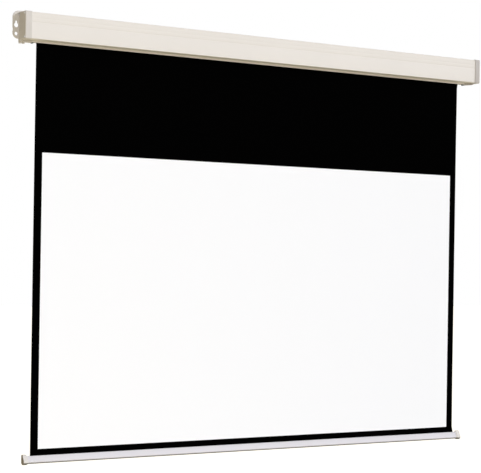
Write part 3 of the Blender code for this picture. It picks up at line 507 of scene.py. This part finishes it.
@dataclass(frozen=True)
class Finish:
    """A finish: a middle colour and roughness, which three noises vary.

    The clouds change the colour by a share of it, the sheen changes the roughness, and the grain is a
    relief, in metres. Sheen and grain run as the brushing does. The source names the coordinates.
    """

    name: str
    colour: Colour
    roughness: float
    clouds: Noise = Noise(60.0, 3.0, 0.03)
    sheen: Noise = Noise(500.0, 3.0, 0.05)
    grain: Noise = Noise(1200.0, 3.0, 8.0e-6)
    brushing: Brushing = Brushing.NONE
    specular: float = 0.5
    # Painted shade that darkens the lowest edge, or None.
    painted_low_shade: PaintedLowShade | None = None
    source: str = "Object"

    def material(self) -> bpy.types.Material:
        """The finish as a material, made once.

        Returns:
            The material.
        """
        known = bpy.data.materials.get(self.name)
        if known is not None:
            return known
        graph = Graph(bpy.data.materials.new(self.name))
        self.paint(graph)
        graph.owner.diffuse_color = (*self.colour, 1.0)
        return graph.owner

    def paint(self, graph: Graph) -> None:
        """Write the nodes.

        Args:
            graph: The material's writer.
        """
        fine = graph.coordinates(self.brushing.value, self.source)
        middle, change = self.roughness, self.sheen.change
        graph.set(
            Base_Color=self.coloured(graph, graph.coordinates(source=self.source)),
            Roughness=graph.spread(graph.noise(fine, self.sheen), middle - change, middle + change),
            Normal=self.relief(graph, fine),
            Specular_IOR_Level=self.specular,
        )

    def coloured(self, graph: Graph, place: Socket) -> Socket:
        """The clouded colour, with the painted shade of the lowest edge over it.

        Args:
            graph: The material's writer.
            place: Coordinates of the clouds.

        Returns:
            The colour socket.
        """
        colour = graph.toned(self.colour, graph.noise(place, self.clouds), self.clouds.change)
        if self.painted_low_shade is None:
            return colour
        # Painted shade: the colour darkens towards the lowest edge, where the underside is in shade.
        share = graph.ramp(graph.place("Z"), self.painted_low_shade.gone, self.painted_low_shade.whole)
        return graph.mixed(share, colour, self.painted_low_shade.colour)

    def relief(self, graph: Graph, place: Socket) -> Socket:
        """The grain's relief at some coordinates."""
        return graph.bump(graph.noise(place, self.grain), self.grain.change)


@dataclass(frozen=True)
class PowderCoat(Finish):
    """Sprayed paint on an extrusion: orange peel over faint lines that the die left along X."""

    clouds: Noise = Noise(5.0, 3.0, 0.012)
    sheen: Noise = Noise(90.0, 3.0, 0.045)
    grain: Noise = Noise(520.0, 2.0, 1.2e-5)
    die_lines: Noise = Noise(1.0, 2.0, 5.0e-6)
    die_run: Triple = (0.8, 260.0, 260.0)
    specular: float = 0.25

    def relief(self, graph: Graph, place: Socket) -> Socket:
        """The orange peel's relief on that of the die's lines.

        Args:
            graph: The material's writer.
            place: Coordinates of the peel.

        Returns:
            The normal socket.
        """
        lines = graph.noise(graph.coordinates(self.die_run), self.die_lines)
        under = graph.bump(lines, self.die_lines.change)
        return graph.bump(graph.noise(place, self.grain), self.grain.change, under)


@dataclass(frozen=True)
class MouldedPlastic(Finish):
    """Spark-eroded mould grain with faint flow clouds."""

    clouds: Noise = Noise(38.0, 4.0, 0.03)
    sheen: Noise = Noise(1500.0, 2.0, 0.05)
    grain: Noise = Noise(1500.0, 2.0, 2.0e-5)
    specular: float = 0.4


@dataclass(frozen=True)
class Cloth(Finish):
    """Coated cloth in a fine plain weave, on its own UV map in metres."""

    clouds: Noise = Noise(60.0, 4.0, 0.12)
    sheen: Noise = Noise(300.0, 3.0, 0.05)
    weave_scale: float = 628.0
    weave_depth: float = 2.5e-5
    specular: float = 0.1
    source: str = "UV"

    def relief(self, graph: Graph, place: Socket) -> Socket:
        """The weave's relief at some coordinates."""
        return graph.bump(graph.weave(place, self.weave_scale), self.weave_depth)


@dataclass(frozen=True)
class PrintedCloth(Cloth):
    """Matt screen cloth, with black printed outside the field, whose edges are places on the UV map."""

    clouds: Noise = Noise(700.0, 2.0, 0.006)
    sheen: Noise = Noise(400.0, 3.0, 0.04)
    weave_scale: float = 100.0 * math.tau
    weave_depth: float = 2.2e-5
    specular: float = 0.0
    black: Colour = (0.0007, 0.0007, 0.0007)
    half_field: float = 0.775
    field_top: float = -0.362
    field_low: float = -1.234

    def coloured(self, graph: Graph, place: Socket) -> Socket:
        """The clouded white inside the field and black outside it.

        Args:
            graph: The material's writer.
            place: Coordinates of the clouds.

        Returns:
            The colour socket.
        """
        up = graph.place("Y", self.source)
        aside = graph.result('ABSOLUTE', graph.place("X", self.source))
        inside = graph.result('LESS_THAN', aside, self.half_field)
        below = graph.result('LESS_THAN', up, self.field_top)
        above = graph.result('GREATER_THAN', up, self.field_low)
        in_field = graph.result('MULTIPLY', inside, graph.result('MULTIPLY', below, above))
        return graph.mixed(in_field, self.black, super().coloured(graph, place))


@dataclass(frozen=True)
class Steel(Finish):
    """Metal with brush or rolling marks."""

    clouds: Noise = Noise(120.0, 3.0, 0.06)
    sheen: Noise = Noise(1.0, 3.0, 0.07)
    grain: Noise = Noise(1.0, 3.0, 6.0e-6)
    brushing: Brushing = Brushing.EVEN

    def paint(self, graph: Graph) -> None:
        """Write the nodes."""
        super().paint(graph)
        graph.set(Metallic=1.0)


@dataclass(frozen=True)
class Rubber(Finish):
    """Black moulded rubber with a dusty bloom."""

    clouds: Noise = Noise(160.0, 4.0, 0.25)
    sheen: Noise = Noise(160.0, 4.0, 0.08)
    grain: Noise = Noise(1800.0, 3.0, 2.0e-5)
    specular: float = 0.2


@dataclass(frozen=True)
class Nylon(Finish):
    """Natural nylon, which lets a share of the light in to a small depth."""

    translucence: float = 0.15
    light_depth: float = 0.002

    def paint(self, graph: Graph) -> None:
        """Write the nodes."""
        super().paint(graph)
        graph.set(Subsurface_Weight=self.translucence, Subsurface_Scale=self.light_depth)


CASE_PAINT = PowderCoat("case_paint", (0.744, 0.702, 0.655), 0.555)
# Painted shade: the lowest edges of the bar and its caps darken, standing in for the shade on their
# undersides.
BAR_PAINTED_LOW_SHADE = PaintedLowShade((0.17, 0.165, 0.16), -1.2730, -1.2710)
BAR_CAP_PAINTED_LOW_SHADE = PaintedLowShade((0.075, 0.066, 0.052), -1.2734, -1.2706)
BAR_PAINT = PowderCoat("bar_coat", (0.682, 0.660, 0.688), 0.425, painted_low_shade=BAR_PAINTED_LOW_SHADE)
LEFT_ABS = MouldedPlastic("left_cap_abs", (0.600, 0.560, 0.515), 0.50)
# The right cap's plastic is a darker copy of the left's: painted shade on the right cap.
RIGHT_ABS_PAINTED_SHADE = MouldedPlastic("right_cap_abs", (0.450, 0.412, 0.380), 0.50)
BAR_CAP_ABS = MouldedPlastic("bar_cap_abs", (0.720, 0.685, 0.650), 0.46, painted_low_shade=BAR_CAP_PAINTED_LOW_SHADE)
# Dark brown on the bar caps' outer end faces: painted shade.
BAR_CAP_END_PAINTED_SHADE = MouldedPlastic("bar_cap_end_painted_shade", (0.230, 0.195, 0.150), 0.60)
STOP_RUBBER = Rubber("stop_rubber", (0.020, 0.020, 0.018), 0.78)
CLOTH_FRONT = PrintedCloth("cloth_front", (0.920, 0.921, 0.942), 0.88)
CLOTH_BACK = Cloth("cloth_back", (0.012, 0.012, 0.013), 0.80)
ZINC = Steel("zinc_plate", (0.62, 0.62, 0.63), 0.34)
SPRING_STEEL = Steel("oiled_spring_steel", (0.30, 0.30, 0.31), 0.36, brushing=Brushing.AROUND)
TUBE_STEEL = Steel("rolled_tube", (0.55, 0.56, 0.58), 0.38, brushing=Brushing.ALONG)
NYLON = Nylon("natural_nylon", (0.82, 0.81, 0.76), 0.42)


@dataclass
class Case:
    """Extruded case: a box section with three grooves down its front, screw ports and two lips below."""

    depth: float = 0.048
    top: float = 0.0417
    underside: float = -0.0368
    wall: float = 0.0016
    corner: float = 0.002
    lip_low: float = -0.0419
    lip_back: float = -0.0124
    lip_thickness: float = 0.0016
    lip_end: float = 0.8222
    half: float = 0.856
    groove_drops: tuple[float, ...] = (0.0059, 0.0173, 0.0295)
    groove_depths: tuple[float, ...] = (0.0002, 0.0002, 0.0004)
    groove_half_width: float = 0.0011
    port_radius: float = 0.0032
    port_bore: float = 0.0016
    port_inset: float = 0.0029
    port_half_mouth: float = 35.0

    def grooves(self) -> np.ndarray:
        """Cosine dips down the front: y rises by half the depth times one plus the cosine of the way across.

        Returns:
            (y, z) points from the top groove to the lowest.
        """
        across = np.linspace(-1.0, 1.0, 9)
        depths = np.array(self.groove_depths)[:, None]
        middles = self.top - np.array(self.groove_drops)[:, None]
        y = depths * (1.0 + np.cos(np.pi * across)) / 2.0 - self.depth
        z = middles - across * self.groove_half_width
        return np.column_stack((y.ravel(), z.ravel()))

    def outline(self, lip_low: float) -> np.ndarray:
        """The section as one closed outline, with its lips down to lip_low.

        Args:
            lip_low: Height of the lips' lower edges.

        Returns:
            Array of (y, z) points.
        """
        front = -self.depth
        upper = (front + self.corner, self.top - self.corner)
        lower = (front + self.corner, self.underside + self.corner)
        inner = self.corner - self.wall
        lip_front = self.lip_back - self.lip_thickness
        floor = self.underside + self.wall
        lip = [(lip_front, self.underside), (lip_front, lip_low)]
        lip += [(self.lip_back, lip_low), (self.lip_back, floor)]
        return np.concatenate((
            [(0.0, lip_low), (0.0, self.top)],
            arc(upper, self.corner, 90, 180, 13),
            self.grooves(),
            arc(lower, self.corner, 180, 270, 13),
            lip,
            arc(lower, inner, 270, 180, 7),
            arc(upper, inner, 180, 90, 7),
            [(-self.wall, self.top - self.wall), (-self.wall, lip_low)],
        ))

    def ports(self) -> list[Shell]:
        """Split rings for the cap screws: an outer arc and an inner arc with the mouth left open.

        Returns:
            One shell for each port.
        """
        front = -self.depth + self.wall + self.port_inset
        back = -self.wall - self.port_inset
        top = self.top - self.wall - self.port_inset
        low = self.underside + self.wall + self.port_inset
        shells = []
        for centre, mouth in (((front, top), -45), ((back, top), -135), ((front, low), 45)):
            first, last = mouth + self.port_half_mouth, mouth + 360 - self.port_half_mouth
            outer = arc(centre, self.port_radius, first, last, 25)
            inner = arc(centre, self.port_bore, last, first, 25)
            shells.append(carried(np.concatenate((outer, inner)), np.array((-self.half, self.half))))
        return shells

    def build(self) -> None:
        """Carry the section along X, with the lips sawn off at both ends."""
        full, sawn = self.outline(self.lip_low), self.outline(self.underside)
        stations = np.array((-self.half, -self.lip_end, -self.lip_end, self.lip_end, self.lip_end, self.half))
        shell = carried(np.stack((sawn, sawn, full, full, sawn, sawn)), stations)
        piece = made_piece("painted_case", [shell, *self.ports()], sharp=24.0, edge=0.00025)
        fitted(piece, Body.HOUSING, "cream_paint", CASE_PAINT, "case_extrusion")


@dataclass
class EndFittings:
    """End cap and stop at one end of the case."""

    side: Side
    cap_edge: float = 0.00045
    stop_edge: float = 0.0004

    def build(self) -> None:
        """Round the edges of the moulded cap and of the rubber stop."""
        word = self.side.word
        cap = refined_copy(f"{word}_end_cap", f"{word}_moulded_cap", self.cap_edge)
        # The right cap takes the darker copy of the plastic, which paints shade on it.
        plastic = LEFT_ABS if self.side is Side.LEFT else RIGHT_ABS_PAINTED_SHADE
        fitted(cap, Body.HOUSING, "cap_plastic", plastic, f"{word}_end_cap")
        stop = refined_copy(f"{word}_stop", f"{word}_rubber_stop", self.stop_edge)
        fitted(stop, Body.HOUSING, "black_rubber", STOP_RUBBER, f"{word}_stop")


@dataclass
class Screw:
    """Pan head screw with a cross recess and a rolled thread, in the place of one CAD screw."""

    node: str
    head_radius: float = 0.0031
    head_height: float = 0.0018
    shank: float = 0.0013
    pitch: float = 0.0009
    thread_depth: float = 0.00022
    dome: float = 0.35
    rim: tuple[tuple[float, float], ...] = ((0.6, 1.0), (1.0, 0.97), (1.0, 0.5))
    recess_half_width: float = 0.00042
    recess_fade: float = 0.2
    recess_reach: float = 0.0017
    recess_full: float = 0.6
    recess_depth: float = 0.0009
    around: int = 48

    def recess(self, across: np.ndarray, up: np.ndarray) -> np.ndarray:
        """Depth of the cross: the deeper of two arms, each full inside its width and fading at its ends.

        Args:
            across: Distance from the axis along one arm.
            up: Distance along the other.

        Returns:
            Depth at each point.
        """
        inner = self.recess_half_width * (1.0 - self.recess_fade)
        outer = self.recess_half_width * (1.0 + self.recess_fade)
        arms = []
        for along, aside in ((across, up), (up, across)):
            width = 1.0 - smooth_step(np.abs(aside), inner, outer)
            reach = 1.0 - smooth_step(np.abs(along), self.recess_reach * self.recess_full, self.recess_reach)
            arms.append(width * reach)
        return self.recess_depth * np.maximum(*arms)

    def surface(self, length: float) -> np.ndarray:
        """Surface over (way along the meridian, angle): domed head with its recess, threaded shank, point.

        The dome's depth grows with the square of the radius. On the shank the radius falls by the
        thread's depth times a triangle wave of the distance in pitches less the share of a turn. The
        rim's rows are shares of the head's height and radius.

        Args:
            length: Whole length of the screw.

        Returns:
            Array (rows, angles, 3) of distance from the crown, and of two offsets from the axis.
        """
        angle = np.linspace(0.0, math.tau, self.around, endpoint=False)
        radii = np.linspace(0.0, self.head_radius, 25)[:, None]
        recess = self.recess(radii * np.cos(angle), radii * np.sin(angle))
        dome = self.head_height * self.dome * (radii / self.head_radius) ** 2.0
        head = turned(dome + recess, radii, angle)
        deep, wide = np.array(self.rim).T[:, :, None]
        rim = turned(self.head_height * deep, self.head_radius * wide, angle)
        tip = 2.0 * self.shank
        along = np.arange(self.head_height, length - tip, self.pitch / 6.0)[:, None]
        phase = (along / self.pitch - angle / math.tau) % 1.0
        start = smooth_step(along, self.head_height, self.head_height + self.pitch)
        thread = turned(along, self.shank - self.thread_depth * start * np.abs(2.0 * phase - 1.0), angle)
        left = np.linspace(1.0, 0.0, 6)[1:, None]
        point = turned(length - tip * left, (self.shank - self.thread_depth) * left, angle)
        return np.concatenate((head, rim, thread, point))

    def build(self) -> None:
        """Turn the surface to the CAD screw's axis, with its head where the CAD head is."""
        low, high = (np.array(corner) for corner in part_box(self.node))
        middle = (low + high) / 2.0
        outward = math.copysign(1.0, middle[0])
        direction = outward if "bracket" in self.node else -outward
        crown = low[0] if direction > 0 else high[0]
        rows = self.surface(high[0] - low[0])
        rows = rows * np.array((direction, 1.0, 1.0)) + np.array((crown, middle[1], middle[2]))
        piece = made_piece(f"{self.node}_threaded", [lofted(rows)], sharp=30.0)
        fitted(piece, Body.HOUSING, "bright_steel", ZINC, self.node)


@dataclass
class ClothSheet:
    """One thin sheet over a grid: a front surface, a back surface and the rim between them."""

    name: str
    front: np.ndarray
    back: np.ndarray
    flat: np.ndarray

    def build(self) -> bpy.types.Object:
        """Join both surfaces round their border and give the front the printed side.

        Returns:
            The new object.
        """
        rows, columns = self.front.shape[:2]
        count = rows * columns
        quads = grid_faces(rows, columns, False)[:, ::-1]
        numbers = np.arange(count).reshape(rows, columns)
        border = np.concatenate((numbers[0, :-1], numbers[:-1, -1], numbers[-1, :0:-1], numbers[:0:-1, 0]))
        following = np.roll(border, -1)
        rim = np.column_stack((border, following, following + count, border + count))
        faces = np.concatenate((quads, quads[:, ::-1] + count, rim))
        points = np.concatenate((self.front.reshape(-1, 3), self.back.reshape(-1, 3)))
        mesh = bpy.data.meshes.new(self.name)
        mesh.from_pydata(points.tolist(), [], faces.tolist())
        corners = np.empty(len(mesh.loops), dtype=np.int64)
        mesh.loops.foreach_get("vertex_index", corners)
        layer = mesh.uv_layers.new(name="UVMap")
        layer.data.foreach_set("uv", np.tile(self.flat.reshape(-1, 2), (2, 1))[corners].ravel())
        index = np.ones(len(faces), dtype=np.int32)
        index[:len(quads)] = 0
        mesh.polygons.foreach_set("material_index", index)
        turn_outwards(mesh)
        return finished(self.name, mesh, sharp=60.0, edge=0.0)


@dataclass
class ScreenCloth:
    """The hanging cloth and the last turn of it on the tube."""

    width: float = 1.600
    shift: float = -0.0066
    plane: float = -0.008
    thickness: float = 0.00035
    high: float = 0.0047
    low: float = -1.2540
    lip: float = -0.0419
    travel: float = 1.2033
    ripple: float = 0.0004
    ripples: tuple[tuple[float, float, float, float], ...] = ((1.0, 17.0, 0.6, 2.0), (0.6, 41.0, -1.1, 3.0))
    ripple_start: float = 0.25
    ripple_end: float = 0.20
    curl: float = 0.0009
    curl_reach: float = 0.02
    flare_from: float = 0.46
    hem_flare: float = 0.0050
    hem_flare_height: float = 0.020
    top_flare: float = 0.0028
    top_flare_height: float = 0.012
    rows: int = 121
    columns: int = 121
    turn_rows: int = 133
    roller: tuple[float, float] = (-0.02319, 0.005)
    turns: float = 1.1
    pitch: float = 0.00065

    def hanging(self) -> tuple[np.ndarray, np.ndarray]:
        """Surface over (way down, way across) and its flat coordinates.

        The cloth hangs in a plane. Long shallow ripples grow below the case and die out at the hem, the
        side edges curl a little, and the right edge flares at the hem and the case. Each ripple is a
        height times the sine of its rate across, a phase and its lean down the cloth.

        Returns:
            Points (rows, columns, 3) and flat coordinates (rows, columns, 2).
        """
        down = np.linspace(0.0, 1.0, self.rows)[:, None]
        across = np.linspace(-0.5, 0.5, self.columns)[None, :]
        z = self.high + (self.low - self.high) * down
        below_case = smooth_step(-z, -self.lip, -self.lip + self.ripple_start)
        free = below_case * smooth_step(z, self.low, self.low + self.ripple_end)
        wave = sum(
            height * np.sin(across * rate + phase + lean * down)
            for height, rate, phase, lean in self.ripples
        )
        edge = np.exp((np.abs(across) - 0.5) / self.curl_reach)
        y = self.plane + free * (self.ripple * wave * (1.0 - edge) + self.curl * edge)
        right = smooth_step(across, self.flare_from, 0.5)
        hem = self.hem_flare * np.clip(1.0 - (z - self.low) / self.hem_flare_height, 0.0, 1.0)
        top = self.top_flare * (1.0 - smooth_step(-z, -self.lip, -self.lip + self.top_flare_height))
        x = self.shift + across * self.width + right * (hem + top)
        return stacked(x, y, z), stacked(across * self.width, z)

    def wound(self) -> tuple[np.ndarray, np.ndarray, np.ndarray]:
        """Spiral over (turn, way across): the radius falls by one pitch a turn.

        Returns:
            Outer points, inner points and flat coordinates.
        """
        turn = np.linspace(0.0, self.turns, self.turn_rows)[:, None]
        across = np.linspace(-0.5, 0.5, 9)[None, :] * self.width
        radius = self.plane - self.roller[0] - self.pitch * turn
        centre = np.array((self.shift, *self.roller))
        outer = turned(across, radius + self.thickness / 2.0, math.tau * turn) + centre
        inner = turned(across, radius - self.thickness / 2.0, math.tau * turn) + centre
        return outer, inner, stacked(across, math.tau * radius * turn)

    def build(self) -> None:
        points, flat = self.hanging()
        offset = np.array((0.0, self.thickness / 2.0, 0.0))
        cloth = ClothSheet("hanging_cloth", points - offset, points + offset, flat).build()
        fitted(cloth, Body.HOUSING, "white_fabric", CLOTH_FRONT, "screen_fabric")
        cloth.data.materials.append(CLOTH_BACK.material())
        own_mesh(cloth)
        last = ClothSheet("last_turn_of_cloth", *self.wound()).build()
        fitted(last, Body.ROLLER, "black_border", CLOTH_BACK, "wound_fabric")
        last.data.materials.append(CLOTH_BACK.material())


@dataclass
class Teardrop:
    """Two round ends on a shared upright back; the front tangent leans."""

    back: float
    low: float
    high: float
    low_radius: float
    top_radius: float

    @property
    def front(self) -> float:
        """Angle in degrees at which the front tangent leaves each round end."""
        rise = (self.high - self.top_radius) - (self.low + self.low_radius)
        return 180.0 - 2.0 * math.degrees(math.atan2(self.low_radius - self.top_radius, rise))

    def ends(self, grow: float) -> tuple[tuple, tuple]:
        """Both round ends.

        Args:
            grow: Distance moved out.

        Returns:
            Centre and radius of the top end, and of the low end.
        """
        top = ((self.back - self.top_radius, self.high - self.top_radius), self.top_radius + grow)
        low = ((self.back - self.low_radius, self.low + self.low_radius), self.low_radius + grow)
        return top, low

    def outline(self, grow: float = 0.0) -> np.ndarray:
        """Closed parallel outline.

        Args:
            grow: Distance moved out.

        Returns:
            Array of (y, z) points.
        """
        top, low = self.ends(grow)
        return np.concatenate((arc(*top, 0, self.front, 25), arc(*low, self.front, 360, 33)))

    def open_outline(self, slot: float, grow: float = 0.0) -> np.ndarray:
        """Parallel outline from the slot's front edge, round the front and the bottom, to its rear edge.

        Args:
            slot: Width of the slot on top.
            grow: Distance moved out.

        Returns:
            Array of (y, z) points.
        """
        top, low = self.ends(grow)
        half = math.degrees(math.asin(slot / 2.0 / top[1]))
        front = arc(*top, 90 + half, self.front, 13)
        return np.concatenate((front, arc(*low, self.front, 360, 33), arc(*top, 0, 90 - half, 13)))


@dataclass
class BottomBar:
    """Bar that the cloth's hem slides into, with its moulded end caps."""

    bar: Teardrop = field(default_factory=lambda: Teardrop(-0.0045, -1.2762, -1.2528, 0.0065, 0.0035))
    cap: Teardrop = field(default_factory=lambda: Teardrop(-0.0033, -1.2785, -1.2483, 0.0088, 0.0040))
    wall: float = 0.0012
    slot: float = 0.0022
    gap: float = 0.0003
    mouth_rim: float = 0.0006
    mouth_taper: float = 0.0050
    end_round: float = 0.0016

    def shell(self) -> None:
        """Carry the wall's section, open at the slot, along X."""
        low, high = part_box("bottom_bar")
        inner = self.bar.open_outline(self.slot, -self.wall)[::-1]
        outline = np.concatenate((self.bar.open_outline(self.slot), inner))
        shell = carried(outline, np.array((low[0], high[0])))
        piece = made_piece("coated_bar", [shell], sharp=30.0, edge=0.00025)
        fitted(piece, Body.BAR, "bar_paint", BAR_PAINT, "bottom_bar")

    def end_cap(self, side: Side) -> None:
        """Loft of outlines: pocket floor, pocket mouth, taper, side, quarter-round end.

        The taper blends from the bar's outline, moved out by the rim, to the cap's own with an ease.

        Args:
            side: End of the bar.
        """
        node = f"{side.word}_bar_cap"
        near, far = sorted((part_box(node)[0][0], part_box(node)[1][0]), key=abs)
        bar_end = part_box("bottom_bar")[0 if side is Side.LEFT else 1][0]
        pocket = self.bar.outline(self.gap)
        rim = self.bar.outline(self.gap + self.mouth_rim)
        full = self.cap.outline()
        rings = [(bar_end + side.value * self.gap, pocket), (near, pocket)]
        for way in np.linspace(0.0, 1.0, 9):
            share = float(smooth_step(way, 0.0, 1.0))
            rings.append((near + side.value * self.mouth_taper * way, rim + share * (full - rim)))
        for angle in np.linspace(0.0, math.pi / 2.0, 7):
            inset = self.end_round * (1.0 - math.sin(angle))
            grow = -self.end_round * (1.0 - math.cos(angle))
            rings.append((far - side.value * inset, self.cap.outline(grow)))
        stations = np.array([place for place, _outline in rings])
        shell = carried(np.stack([outline for _place, outline in rings]), stations)
        piece = made_piece(f"{node}_moulding", [shell], sharp=40.0)
        fitted(piece, Body.BAR, "bar_cap_plastic", BAR_CAP_ABS, node)
        # The faces of the quarter-round outer end take the dark brown material: painted shade on the end
        # face.
        piece.data.materials.append(BAR_CAP_END_PAINTED_SHADE.material())
        centres = np.empty(len(piece.data.polygons) * 3)
        piece.data.polygons.foreach_get("center", centres)
        outer = np.abs(centres[::3] - far) < self.end_round
        piece.data.polygons.foreach_set("material_index", outer.astype(np.int32))

    def build(self) -> None:
        """Make the bar and both caps."""
        self.shell()
        for side in Side:
            self.end_cap(side)


@dataclass
class TorsionSpring:
    """Close-wound spring round the still shaft."""

    wire: float = 0.0008
    turns: int = 96
    steps_per_turn: int = 16
    sides: int = 8

    def build(self) -> None:
        """Tube round a helix: the wire's circle spans the helix's radial and binormal directions."""
        low, high = (np.array(corner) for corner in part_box("torsion_spring"))
        middle = (low + high) / 2.0
        radius = (high[1] - low[1]) / 2.0 - self.wire
        along = np.linspace(low[0] + self.wire, high[0] - self.wire, self.turns * self.steps_per_turn + 1)
        angle = np.linspace(0.0, math.tau * self.turns, len(along))
        rise = (along[-1] - along[0]) / (math.tau * self.turns * radius)
        outward = turned(0.0, 1.0, angle)
        forward = turned(rise, 1.0, angle + math.pi / 2.0) / math.hypot(1.0, rise)
        aside = np.cross(forward, outward)
        around = np.linspace(0.0, math.tau, self.sides, endpoint=False)[None, :, None]
        circle = np.cos(around) * outward[:, None] + np.sin(around) * aside[:, None]
        path = turned(along - middle[0], radius, angle) + middle
        tube = path[:, None] + self.wire * circle
        piece = made_piece("wound_spring", [lofted(tube)], sharp=50.0)
        fitted(piece, Body.HOUSING, "spring_steel", SPRING_STEEL, "torsion_spring")


@dataclass
class HiddenParts:
    """CAD parts inside the case whose shape stays, with the finish of each."""

    finishes: tuple[tuple[Finish, tuple[str, ...]], ...] = (
        (ZINC, ("idle_bracket", "spring_bracket", "idle_pin", "first_pawl_pin", "second_pawl_pin")),
        (SPRING_STEEL, ("spring_shaft", "shaft_clip", "ratchet_wheel", "ratchet_pin", "anchor_pin")),
        (SPRING_STEEL, ("first_pawl", "second_pawl")),
        (TUBE_STEEL, ("roller_tube",)),
        (NYLON, ("idle_bush", "idle_plug", "pawl_carrier", "carrier_cover")),
        (NYLON, ("spring_anchor", "shaft_guide", "hem_rod")),
    )

    def build(self) -> None:
        """Put each finish on its nodes."""
        for finish, nodes in self.finishes:
            for node in nodes:
                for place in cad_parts[node].material_slots:
                    place.material = finish.material()
                LOG.info("finish %s: %s", finish.name, node)


@dataclass(frozen=True)
class Sun:
    """Distant soft lamp, which lights the whole cloth evenly.

    It stands in the source's direction from the screen and spans the softness, an angle in degrees.
    """

    name: str
    energy: float
    colour: Colour
    source: Triple
    softness: float

    def build(self) -> None:
        """Hang the lamp and turn it to the screen."""
        data = bpy.data.lights.new(self.name, 'SUN')
        data.energy = self.energy
        data.color = self.colour
        data.angle = math.radians(self.softness)
        lamp = bpy.data.objects.new(self.name, data)
        lamp.rotation_euler = Vector(self.source).to_track_quat('Z', 'Y').to_euler()
        bpy.context.scene.collection.objects.link(lamp)


@dataclass
class Studio:
    """White surroundings, three soft lamps and a pale floor far below, which glows towards the left."""

    floor_height: float = -2.05
    floor_half: float = 40.0
    floor_colour: Colour = (0.80, 0.745, 0.57)
    floor_lift: float = 0.80
    glow: Colour = (0.28, 0.25, 0.16)
    glow_edge: float = 0.8
    sky: Colour = (0.50, 0.48, 0.41)
    left_sky: Colour = (0.08, 0.035, 0.0)
    bright_side: Triple = (0.5, -0.87, 0.0)
    dimming: tuple[float, float] = (0.2, -0.8)
    lamps: tuple[Sun, ...] = (
        Sun("key", 1.39, (0.92, 0.985, 1.17), (0.56, -0.72, 0.32), 12.0),
        Sun("fill", 0.80, (0.95, 0.99, 1.10), (-0.27, -0.95, 0.06), 20.0),
        Sun("bounce", 0.55, (1.0, 0.95, 0.76), (0.0, -0.60, -0.80), 70.0),
    )

    def surroundings(self) -> None:
        """World that is white where it is seen, and lights dimmer and warmer from the left and the rear.

        The dimming goes by the dot product of the ray's direction and the bright side's.
        """
        world = bpy.data.worlds.new("surroundings")
        bpy.context.scene.world = world
        graph = Graph(world)
        ray = graph.node("TexCoord", "Generated")
        towards = graph.result('DOT_PRODUCT', ray, self.bright_side, kind="VectorMath")
        sky = graph.mixed(graph.ramp(towards, *self.dimming), self.sky, self.left_sky)
        graph.fill(graph.nodes["Background"], Color=graph.mixed(graph.seen(), sky, (1.0, 1.0, 1.0)))

    def floor(self) -> None:
        """Pale floor that takes the shadow, is lifted to white where it is seen, and glows at its left."""
        mesh = bpy.data.meshes.new("pale_floor")
        corners = np.array([(-1, -1), (1, -1), (1, 1), (-1, 1)]) * self.floor_half
        mesh.from_pydata([(x, y, self.floor_height) for x, y in corners.tolist()], [], [(0, 1, 2, 3)])
        ground = bpy.data.objects.new("pale_floor", mesh)
        bpy.context.scene.collection.objects.link(ground)
        graph = Graph(bpy.data.materials.new("floor_paint"))
        left = graph.ramp(graph.place("X"), self.glow_edge, -self.glow_edge)
        glow = graph.mixed(left, (0.0, 0.0, 0.0), self.glow)
        lift = graph.mixed(graph.seen(), glow, (self.floor_lift,) * 3)
        graph.set(Base_Color=self.floor_colour, Roughness=0.9, Specular_IOR_Level=0.0)
        graph.set(Emission_Color=lift, Emission_Strength=1.0)
        mesh.materials.append(graph.owner)
        ground.visible_shadow = False

    def build(self) -> None:
        """Light the scene and set its plain view transform."""
        bpy.context.scene.view_settings.view_transform = 'Standard'
        self.surroundings()
        self.floor()
        for lamp in self.lamps:
            lamp.build()


@dataclass
class PhotoCamera:
    """Camera of the photograph, 481 by 473, fitted to the case, the cloth and the bar."""

    width: float = 481.0
    focal: float = 1551.0
    yaw: float = 32.26
    roll: float = 0.890
    horizon: float = 266.1
    middle_row: float = 236.5
    place: Triple = (-2.7186, -4.178, -0.687)

    def build(self) -> None:
        """Look level along the yaw, rolled a little, with the frame shifted to the photograph's horizon."""
        yaw, roll = math.radians(self.yaw), math.radians(self.roll)
        ahead = Vector((math.sin(yaw), math.cos(yaw), 0.0))
        right = ahead.cross(Vector((0.0, 0.0, 1.0))).normalized()
        up = right.cross(ahead)
        across = right * math.cos(roll) + up * math.sin(roll)
        upright = up * math.cos(roll) - right * math.sin(roll)
        data = bpy.data.cameras.new("photo_camera")
        data.sensor_width = 36.0
        data.lens = self.focal * data.sensor_width / self.width
        data.shift_y = (self.horizon - self.middle_row) / self.width
        data.clip_end = 200.0
        camera = bpy.data.objects.new("photo_camera", data)
        matrix = Matrix((across, upright, -ahead)).transposed().to_4x4()
        matrix.translation = Vector(self.place)
        camera.matrix_world = matrix
        bpy.context.scene.collection.objects.link(camera)
        bpy.context.scene.camera = camera


def screws() -> list[Screw]:
    """Every screw of the case's ends.

    Returns:
        The screws, of the caps first.
    """
    names = [f"{side.word}_cap_screw_{number}" for side in Side for number in (1, 2, 3)]
    names += [f"{side.word}_bracket_screw_{number}" for side in Side for number in (1, 2)]
    return [Screw(name) for name in names]


def main() -> None:
    """Build every part of the scene in order."""
    logging.basicConfig(level=logging.INFO, format="%(message)s")
    parts = [PhotoCamera(), Studio(), Case()]
    parts += [EndFittings(side) for side in Side]
    parts += [*screws(), ScreenCloth(), BottomBar(), TorsionSpring(), HiddenParts()]
    for part in parts:
        part.build()


if __name__ == "__main__":
    main()
